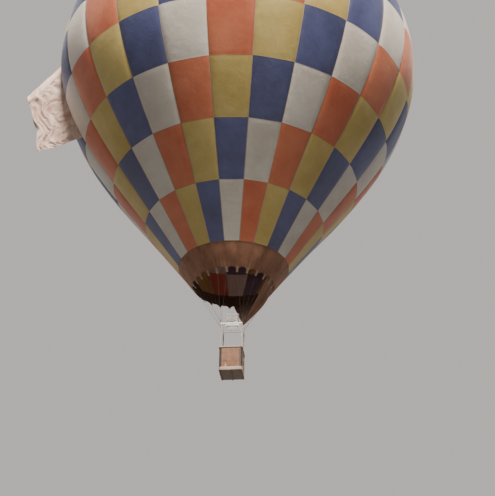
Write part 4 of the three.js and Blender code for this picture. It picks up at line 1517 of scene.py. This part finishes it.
@dataclass
class Basket:
    """The wicker basket: walls, rim, hem, boards, covered uprights and two gas cylinders."""

    half_x: float = 0.54
    half_y: float = 0.56
    wall: float = 0.03
    corner: float = 0.11
    stakes: int = 86
    strand: float = 0.0212
    strand_swing: float = 0.0088
    strand_half: float = 0.0058
    strand_tones: float = 0.14
    stake_radius: float = 0.0055
    stake_tones: float = 0.12
    points_per_stake: int = 3
    hole_width: float = 0.18
    hole_height: float = 0.12
    hole_lows: tuple[float, float] = (0.28, 0.66)
    hole_corner: float = 0.03
    hole_edge: tuple[float, float] = (0.011, 0.018)
    rim_width: float = 0.09
    rim_corner: float = 0.045
    rim_lacing: int = 84
    rim_steps: int = 8
    lace: float = 0.0028
    hem_thickness: float = 0.010
    hem_points: int = 420
    hem_ripple: float = 0.0012
    points_per_ripple: int = 21
    stitch: float = 0.0016
    stitch_points: int = 480
    stitch_inset: float = 0.016
    guard_width: float = 0.015
    guard_lifts: tuple[float, float] = (0.0045, 0.0010)
    boards: int = 7
    board_gap: float = 0.0015
    board_thickness: float = 0.018
    board_tones: float = 0.2
    runner: float = 0.06
    runner_height: float = 0.039
    runner_tone: float = 0.8
    post_foot: tuple[float, float] = (0.506, 0.526)
    post_top: float = 0.495
    post_radius: float = 0.0292
    post_rows: int = 168
    post_sides: int = 28
    post_spans: int = 7
    tie_radius: float = 0.0285
    foot_ring: tuple[float, float] = (0.105, 0.05)
    collar: tuple[float, float] = (0.088, 0.11)
    strap_heights: tuple[float, float] = (0.27, 0.52)
    rim_settling: Settling = Settling(pressure=12.0, spare=0.04, reach=0.008)
    cover_settling: Settling = Settling(pressure=6.0, spare=0.02, reach=0.004)

    def __post_init__(self) -> None:
        """Heights of the walls, from the frame, and the line round their middle."""
        low, high = node_box("wicker_front")
        self.low, self.high = low[2], high[2]
        inset = self.wall / 2
        self.middle = rounded(self.half_x - inset, self.half_y - inset, self.corner - inset, 6)

    def in_hole(self, z: float, margin: float) -> bool:
        """Whether a height meets a step hole."""
        return any(low - margin < z - self.low < low + self.hole_height + margin
                   for low in self.hole_lows)

    def weave(self) -> None:
        """Level strands over and under upright stakes, drawn at three times a real rod's size.

        A strand's distance from the wall's middle is a sine that turns over at each stake, and the
        next strand up has it the other way round. Where a step hole breaks it, it is cut short.
        """
        count = self.stakes * self.points_per_stake
        path = even_loop(self.middle, count)
        out = np.cross(loop_tangents(path), UP)
        wave = np.sin(math.pi * (np.arange(count) / self.points_per_stake + 0.5))
        beside_hole = np.abs(path[:, 1]) > self.hole_width / 2 + 0.008
        clear = beside_hole | (np.abs(path[:, 0]) < self.half_x - 0.05)
        levels = np.arange(self.low + self.strand / 2, self.high - 0.004, self.strand)
        tones = 1 + self.strand_tones * settled(21, (len(levels), 2))
        section = circle(6, self.strand * 0.56, self.strand_half)[:, ::-1]
        body = Body()
        for index, z in enumerate(levels):
            swing = self.strand_swing * wave * (-1) ** index
            line = path + out * swing[:, None] + z * UP
            if not self.in_hole(z, 0.006):
                body.run(line, section, loop=True, tone=tones[index, 0])
                continue
            for part, start in enumerate(np.flatnonzero(clear & ~np.roll(clear, 1))):
                length = int(np.argmin(np.roll(clear, -start)))
                stretch = np.roll(line, -start, axis=0)[:length]
                body.run(stretch, section, tone=tones[index, part % 2])
        for index, tone in enumerate(1 + self.stake_tones * settled(22, (self.stakes,))):
            at = path[index * self.points_per_stake]
            edges = [self.low + 0.001, self.high - 0.001]
            if not clear[index * self.points_per_stake]:
                edges[1:1] = [self.low + low + more for low in self.hole_lows
                              for more in (0, self.hole_height)]
            for low, high in zip(edges[::2], edges[1::2]):
                body.run(np.array([at + low * UP, at + high * UP]),
                         circle(6, self.stake_radius, self.stake_radius), ACROSS, tone=tone)
        walls = [f"wicker_{side}" for side in ("front", "back", "left", "right")]
        body.make("basket_weave", [WILLOW], replaces=walls, sharp=60)

    def hole_edges(self) -> None:
        """Hide-wrapped edges of the four step holes, each a rounded loop."""
        body = Body()
        for x in (-1, 1):
            for low in self.hole_lows:
                loop = rounded(self.hole_width / 2, self.hole_height / 2, self.hole_corner, 6)
                middle = self.low + low + self.hole_height / 2
                wall = np.full(len(loop), x * (self.half_x - self.wall / 2))
                path = np.stack([wall, loop[:, 0], loop[:, 1] + middle], axis=-1)
                path = np.repeat(path, 2, axis=0)
                path[1::2] = (path[::2] + np.roll(path[::2], -1, axis=0)) / 2
                ripple = 1 + 0.06 * (np.arange(len(path)) % 2)
                body.run(path, circle(10, *self.hole_edge), ACROSS, loop=True, scale=ripple)
        body.make("step_hole_edges", [GREY_HIDE])

    def rim(self) -> None:
        """The padded rim under hide, which swells between the turns of its lacing."""
        low, high = node_box("basket_rim")
        half, height = self.rim_width / 2, high[2] - low[2]
        middle = rounded(high[0] - half, high[1] - half, self.rim_corner, 8)
        level = (low[2] + high[2]) / 2
        count = self.rim_lacing * self.rim_steps
        laced = np.arange(count) % self.rim_steps == 0
        grid = sweep(even_loop(middle, count, level), rounded(half, height / 2, 0.03, 6), loop=True,
                     scale=0.98 - 0.03 * laced)
        body = Body()
        body.grid(self.rim_settling.run(grid, (True, True), laced[:, None]), (True, True))
        pad = body.make("rim_pad", [GREY_HIDE], replaces=["basket_rim"])
        ring = rounded(half + 0.0015, height / 2 + 0.0015, 0.031, 3)
        fine = even_loop(middle, self.rim_lacing * len(ring), level)
        turn = np.arange(len(fine))
        spiral = sweep(fine, ring, loop=True)[turn, turn % len(ring)]
        lace = Body()
        lace.run(spiral, circle(5, self.lace, self.lace), unit(spiral - fine), loop=True)
        lace.make("rim_lace", [LACING])

    def hem(self) -> None:
        """The hide hem round the foot, with a turned edge and stitches at its top and bottom."""
        low, high = node_box("basket_hem")
        half, height = self.hem_thickness / 2, high[2] - low[2]
        middle = rounded(high[0] - half, high[1] - half, self.corner, 8)
        path = even_loop(middle, self.hem_points, (low[2] + high[2]) / 2)
        turn = np.arange(self.hem_points) * TURN / self.points_per_ripple
        ripple = self.hem_ripple * np.sin(turn)
        path = path + np.cross(loop_tangents(path), UP) * ripple[:, None]
        edge = rounded(half, height / 2, 0.0045, 3)
        edge[:, 0] += np.where(np.abs(edge[:, 1]) > height / 2 - 0.02, 0.0008, 0.0)
        body = Body()
        body.run(path, edge, loop=True)
        body.make("hem_hide", [PALE_HIDE], replaces=["basket_hem"])
        stitches = Body()
        outline = rounded(high[0] + 0.0005, high[1] + 0.0005, self.corner + half, 8)
        line = even_loop(outline, self.stitch_points)
        for z in (high[2] - self.stitch_inset, low[2] + self.stitch_inset):
            for index in range(0, self.stitch_points, 3):
                ends = line[[index, (index + 2) % self.stitch_points]] + z * UP
                stitches.run(ends, circle(5, self.stitch, self.stitch))
        stitches.make("hem_stitches", [LACING])

    def guards(self) -> None:
        """Dark hide guards round the basket's four upright corners, from the hem to the rim."""
        heights = np.linspace(node_box("basket_hem")[1][2] - 0.004, self.high - 0.002, 7)
        arc = np.linspace(0, math.pi / 2, 9)
        body = Body()
        for corner in CORNERS.values():
            skins = []
            for radius in self.corner + np.array(self.guard_lifts):
                turned = np.stack([np.cos(arc), np.sin(arc)], axis=-1) * radius
                line = np.concatenate([[[radius, -self.guard_width]], turned,
                                       [[-self.guard_width, radius]]])
                line = (line + [self.half_x - self.corner, self.half_y - self.corner]) * corner
                skins.append(np.stack([np.insert(line, 2, height, axis=1) for height in heights]))
            body.shell(*skins)
        body.make("corner_guards", [DARK_HIDE])

    def floor(self) -> None:
        """Boards across the basket, with narrow gaps, on three runners with rounded ends."""
        low, high = node_box("basket_floor")
        board = (high[1] - low[1]) / self.boards
        tones = 1 + self.board_tones * settled(31, (self.boards,))
        size, corner, gap = high - low, self.corner - 0.02, self.board_gap
        body = Body()
        for index in range(self.boards):
            y = low[1] + board * index
            body.grid(slab((0, 0, high[2] - self.board_thickness / 2),
                           (*size[:2], self.board_thickness), corner, 0.002,
                           ((low[0], y + gap), (high[0], y + board - gap))), tone=tones[index])
        for x in (low[0], -self.runner / 2, high[0] - self.runner):
            body.grid(slab((0, 0, low[2] + self.runner_height / 2),
                           (*size[:2], self.runner_height), corner, 0.006,
                           ((x, low[1]), (x + self.runner, high[1]))), tone=self.runner_tone)
        body.make("floor_boards", [DARK_TIMBER], replaces=["basket_floor"])

    def upright(self, name: str) -> None:
        """A padded canvas cover, gathered at its ends and swelling between its ties.

        Args:
            name: The corner.
        """
        low, high = node_box(f"upright_{name}")
        x, y = CORNERS[name]
        foot = np.array([x * self.post_foot[0], y * self.post_foot[1], low[2]])
        along = np.array([x * self.post_top, y * self.post_top, high[2]]) - foot
        share = np.linspace(0, 1, self.post_rows + 1)
        ends = smooth(share / 0.035) * smooth((1 - share) / 0.035)
        tied = np.abs(np.cos(math.pi * share * self.post_spans)) ** 24
        girth = self.post_radius * (0.7 + 0.3 * ends) * (1 - 0.07 * tied)
        wobble = 1 + 0.025 * np.sin(3 * steps_round(self.post_sides) + x + 2 * y)
        grid = sweep(foot + share[:, None] * along, circle(self.post_sides) * wobble[:, None], BACK,
                     scale=girth)
        held = (tied > 0.9) | (share < 0.012) | (share > 0.988)
        body = Body()
        body.grid(capped(self.cover_settling.run(grid[:, ::-1], (False, True), held[:, None])))
        cover = body.make(f"post_cover_{name}", [POST_CANVAS], replaces=[f"upright_{name}"])
        ties = Body()
        around = self.tie_radius * np.insert(circle(24), 2, 0.0, axis=1)
        for place in np.arange(1, self.post_spans) / self.post_spans:
            ring = foot + place * along + around
            ties.run(ring, circle(6, 0.003, 0.004), loop=True)
        ties.make(f"post_ties_{name}", [LACING])

    def cylinder(self, side: str) -> None:
        """A gas cylinder: foot ring, pressed ends, collar with a valve inside, and two straps.

        Args:
            side: Left or right.
        """
        low, high = node_box(f"fuel_cylinder_{side}")
        radius, height = (high[0] - low[0]) / 2, high[2] - low[2]
        centre = np.array([*(low[:2] + high[:2]) / 2, low[2]])
        body = Body()
        arc = np.linspace(0, math.pi / 2, 9)
        bottom = [(radius * math.sin(a) ** 0.8, 0.11 - 0.085 * math.cos(a)) for a in arc]
        shoulder = height - 0.18
        top = [(radius * math.sin(a) ** 0.8, shoulder + 0.095 * math.cos(a)) for a in arc[::-1]]
        weld = [(radius, 0.2), (radius + 0.0015, 0.204), (radius, 0.208)]
        body.grid(lathe([*bottom, *weld, *top], 48, centre))
        for ring, start, end, lip in ((self.foot_ring[0], 0.0, self.foot_ring[1], 0.0),
                                      (self.collar[0], height - self.collar[1], height, height)):
            tube = [(ring - 0.003, start), (ring, start), (ring, end), (ring - 0.003, end)]
            body.turned(tube, 40, centre)
            body.turned(circle(8, 0.004, 0.004) + [ring, lip], 40, centre)
        crown = centre + UP * (shoulder + 0.09)
        body.rod(crown, crown + UP * 0.05, 0.016, 12, 1)
        body.rod(crown + UP * 0.03, crown + [0.05, 0, 0.03], 0.009, 10, 1)
        body.rod(crown + UP * 0.05, crown + UP * 0.066, 0.026, 10, 2)
        body.make(f"cylinder_shell_{side}", [ALLOY, BRASS, RED_ENAMEL],
                  replaces=[f"fuel_cylinder_{side}"])
        straps = Body()
        inside, outside = radius + 0.0005, radius + 0.003
        for z in self.strap_heights:
            band = [(inside, z - 0.02), (outside, z - 0.02), (outside, z + 0.02),
                    (inside, z + 0.02)]
            straps.turned(band, 60, centre)
            buckle = centre + [0, -radius - 0.006, z]
            straps.grid(slab(buckle, (0.04, 0.01, 0.05), 0.004, 0.002), slot=1)
        straps.make(f"cylinder_straps_{side}", [LOAD_TAPE, STAINLESS])

    def build(self) -> None:
        """Makes the whole basket."""
        self.weave()
        self.hole_edges()
        self.rim()
        self.hem()
        self.guards()
        self.floor()
        for name in CORNERS:
            self.upright(name)
        for side in ("left", "right"):
            self.cylinder(side)


@dataclass
class Banner:
    """A pale sheet sewn along one load tape, which streams out in folds under a stiff top hem."""

    fabric: Fabric
    seam: int = 19
    first: float = 9.1
    last: float = 14.2
    top: tuple[float, float] = (11.13, 9.78)
    foot: tuple[float, float] = (10.23, 6.25)
    rows: int = 132
    columns: int = 96
    sag: float = 0.09
    edge_wave: float = 0.05
    wave: float = 0.145
    hem_from: float = 0.87
    hem_step: float = 0.06
    hem_lean: float = 0.16
    hem_lift: float = 0.16
    # hem_tone brightens the top hem's faces: a painted highlight of sun on the hem
    hem_tone: float = 1.4
    thickness: float = 0.006
    settling: Settling = Settling(spare=0.03, frames=24, reach=0.1)

    def points(self) -> np.ndarray:
        """Points of the sheet: straight from the seam to the free edge, plus folds and the hem.

        The folds are waves that grow away from the seam. Above hem_from the doubled cloth steps
        out towards the viewer and then leans back.

        Returns:
            The points, with a row for each height.
        """
        up, out = np.meshgrid(np.linspace(0, 1, self.rows + 1), np.linspace(0, 1, self.columns + 1),
                              indexing="ij")
        angle = self.fabric.seam_angle(self.seam)
        side = polar(angle + math.pi / 2, 1.0, 0.0)
        hem = np.maximum(up - self.hem_from, 0) / (1 - self.hem_from)
        sewn = self.fabric.point(self.seam, 0.0, self.first + up * (self.last - self.first), 0.004)
        radius, height = (self.foot[k] + up * (self.top[k] - self.foot[k]) for k in (0, 1))
        radius = radius + self.edge_wave * np.sin(TURN * 2.3 * up)
        free = polar(angle, radius, self.fabric.skirt_z + height)
        points = sewn * (1 - out[..., None]) + free * out[..., None]
        points = points - UP * (self.sag * 4 * out * (1 - out) * up**2)[..., None]
        lean = out + 0.08 * np.sin(3.1 * up + 0.4)
        folds = (0.42 * np.sin(TURN * (1.15 * lean + 0.5 * up + 0.05))
                 + 0.3 * np.sin(TURN * (3.3 * lean - 0.7 * up + 0.3))
                 + 0.26 * np.sin(TURN * (5.6 * lean + 0.35 * np.sin(4.0 * up) + 0.1))
                 + 0.1 * np.sin(TURN * (9.5 * lean + 0.5 * np.sin(6.0 * up + 1.0))))
        folds = self.wave * out**0.7 * folds * (1 - 0.75 * smooth(4 * hem))
        raised = self.hem_lift * hem * (0.5 + 0.5 * np.sin(math.pi * out))
        aside = folds + self.hem_step * smooth(4 * hem) - self.hem_lean * hem**2
        return points + UP * raised[..., None] + side * aside[..., None]

    def build(self) -> None:
        """Makes the sheet and lets it buckle inside its edges."""
        row = np.arange(self.rows + 1)[:, None] / self.rows
        column = np.arange(self.columns + 1)[None] / self.columns
        held = (row <= 0) | (row >= self.hem_from) | (column <= 0.01)
        middle = self.settling.run(self.points(), (False, False), held)
        half = grid_normals(middle) * self.thickness / 2
        body = Body()
        # The hem's faces get hem_tone: painted sunlight that makes the hem brighter than the body
        body.shell(middle + half, middle - half,
                   tone=np.where(row[:-1] >= self.hem_from, self.hem_tone, 1.0))
        sheet = body.make("banner_sheet", [BANNER_CLOTH], replaces=["banner"],
                          sharp=80)


@dataclass
class Studio:
    """The plain floor, the soft light and the camera at the photograph's angle."""

    camera_at: tuple[float, float, float] = (5.83, -47.50, -40.56)
    heading: float = math.radians(-6.2)
    pitch: float = 0.552
    roll: float = 0.013
    focal_pixels: float = 1126.3
    picture_height: int = 496
    sensor: float = 36.0
    eye_height: float = 1.6
    sun_heading: float = math.radians(-14)
    sun_height: float = math.radians(51)
    sun_width: float = math.radians(12)
    sun_strength: float = 10.4
    sun_colour: str = "#fff0df"
    sky_colour: str = "#c6c1bd"
    ground_colour: str = "#6f6a64"
    sky_strength: float = 1.02
    floor_colour: str = "#c9c6c1"
    floor_half: float = 150.0

    def camera(self) -> None:
        """The camera: fitted to the panel corners, so it looks up at the balloon."""
        level = polar(math.pi - self.heading, 1.0, 0.0)
        ahead = level * math.cos(self.pitch) + UP * math.sin(self.pitch)
        right = np.cross(level, UP)
        over = np.cross(right, ahead)
        tilted = math.cos(self.roll) * right + math.sin(self.roll) * over
        data = bpy.data.cameras.new("camera")
        data.sensor_width = self.sensor
        data.lens = self.focal_pixels * self.sensor / self.picture_height
        data.clip_end = 500.0
        camera = bpy.data.objects.new("camera", data)
        turn = Matrix([tilted, np.cross(tilted, ahead), -ahead]).transposed()
        camera.matrix_world = Matrix.Translation(Vector(self.camera_at)) @ turn.to_4x4()
        bpy.context.scene.collection.objects.link(camera)
        bpy.context.scene.camera = camera

    def lights(self) -> None:
        """A large soft key light behind the camera, and a plain surround, darker below."""
        data = bpy.data.lights.new("key", "SUN")
        data.energy = self.sun_strength
        data.angle = self.sun_width
        data.color = hex_linear(self.sun_colour)[:3]
        key = bpy.data.objects.new("key", data)
        travel = polar(math.pi - self.sun_heading, math.cos(self.sun_height),
                       -math.sin(self.sun_height))
        key.rotation_euler = Vector(travel).to_track_quat("-Z", "Y").to_euler()
        bpy.context.scene.collection.objects.link(key)
        world = bpy.data.worlds.new("sky")
        bpy.context.scene.world = world
        world.use_nodes = True
        tree = world.node_tree
        tree.nodes.clear()
        around = add_node(tree, "TexCoord")
        split = add_node(tree, "SeparateXYZ", {0: around.outputs["Generated"]})
        level = add_node(tree, "MapRange", {"From Min": -1.0, "Value": split.outputs["Z"]})
        colour = add_node(tree, "ValToRGB", {"stops": [(0.44, self.ground_colour),
                                                       (0.56, self.sky_colour)], 0: level})
        sky = add_node(tree, "Background", {"Strength": self.sky_strength, "Color": colour})
        add_node(tree, "OutputWorld", {"Surface": sky})

    def floor(self) -> None:
        """A plain floor at eye height below the camera, clear from below, so it hides nothing."""
        z = self.camera_at[2] - self.eye_height
        mesh = bpy.data.meshes.new("floor")
        corners = [(x * self.floor_half, y * self.floor_half, z)
                   for x, y in ((-1, -1), (1, -1), (1, 1), (-1, 1))]
        mesh.from_pydata(corners, [], [(0, 1, 2, 3)])
        made = bpy.data.materials.new("floor_paint")
        made.use_nodes = True
        tree = made.node_tree
        tree.nodes.clear()
        paint = add_node(tree, "BsdfDiffuse", {"Color": hex_linear(self.floor_colour)})
        clear = add_node(tree, "BsdfTransparent")
        side = add_node(tree, "NewGeometry")
        mix = add_node(tree, "MixShader", {0: side.outputs["Backfacing"], 1: paint, 2: clear})
        add_node(tree, "OutputMaterial", {"Surface": mix})
        mesh.materials.append(made)
        floor = bpy.data.objects.new("floor", mesh)
        floor.visible_diffuse = False
        bpy.context.scene.collection.objects.link(floor)

    def build(self) -> None:
        """Sets the camera, the lights and the floor."""
        self.camera()
        self.lights()
        self.floor()


def main() -> None:
    """Builds the balloon's sub-assemblies in order."""
    logging.basicConfig(level=logging.INFO, format="%(name)s: %(message)s")
    fabric = Fabric()
    Studio().build()
    crown = Crown(fabric)
    Envelope(fabric).build(crown.tape_line())
    crown.build()
    Mouth(fabric).build()
    Rigging(fabric).build()
    Burner().build()
    Basket().build()
    Banner(fabric).build()


if __name__ == "__main__":
    main()
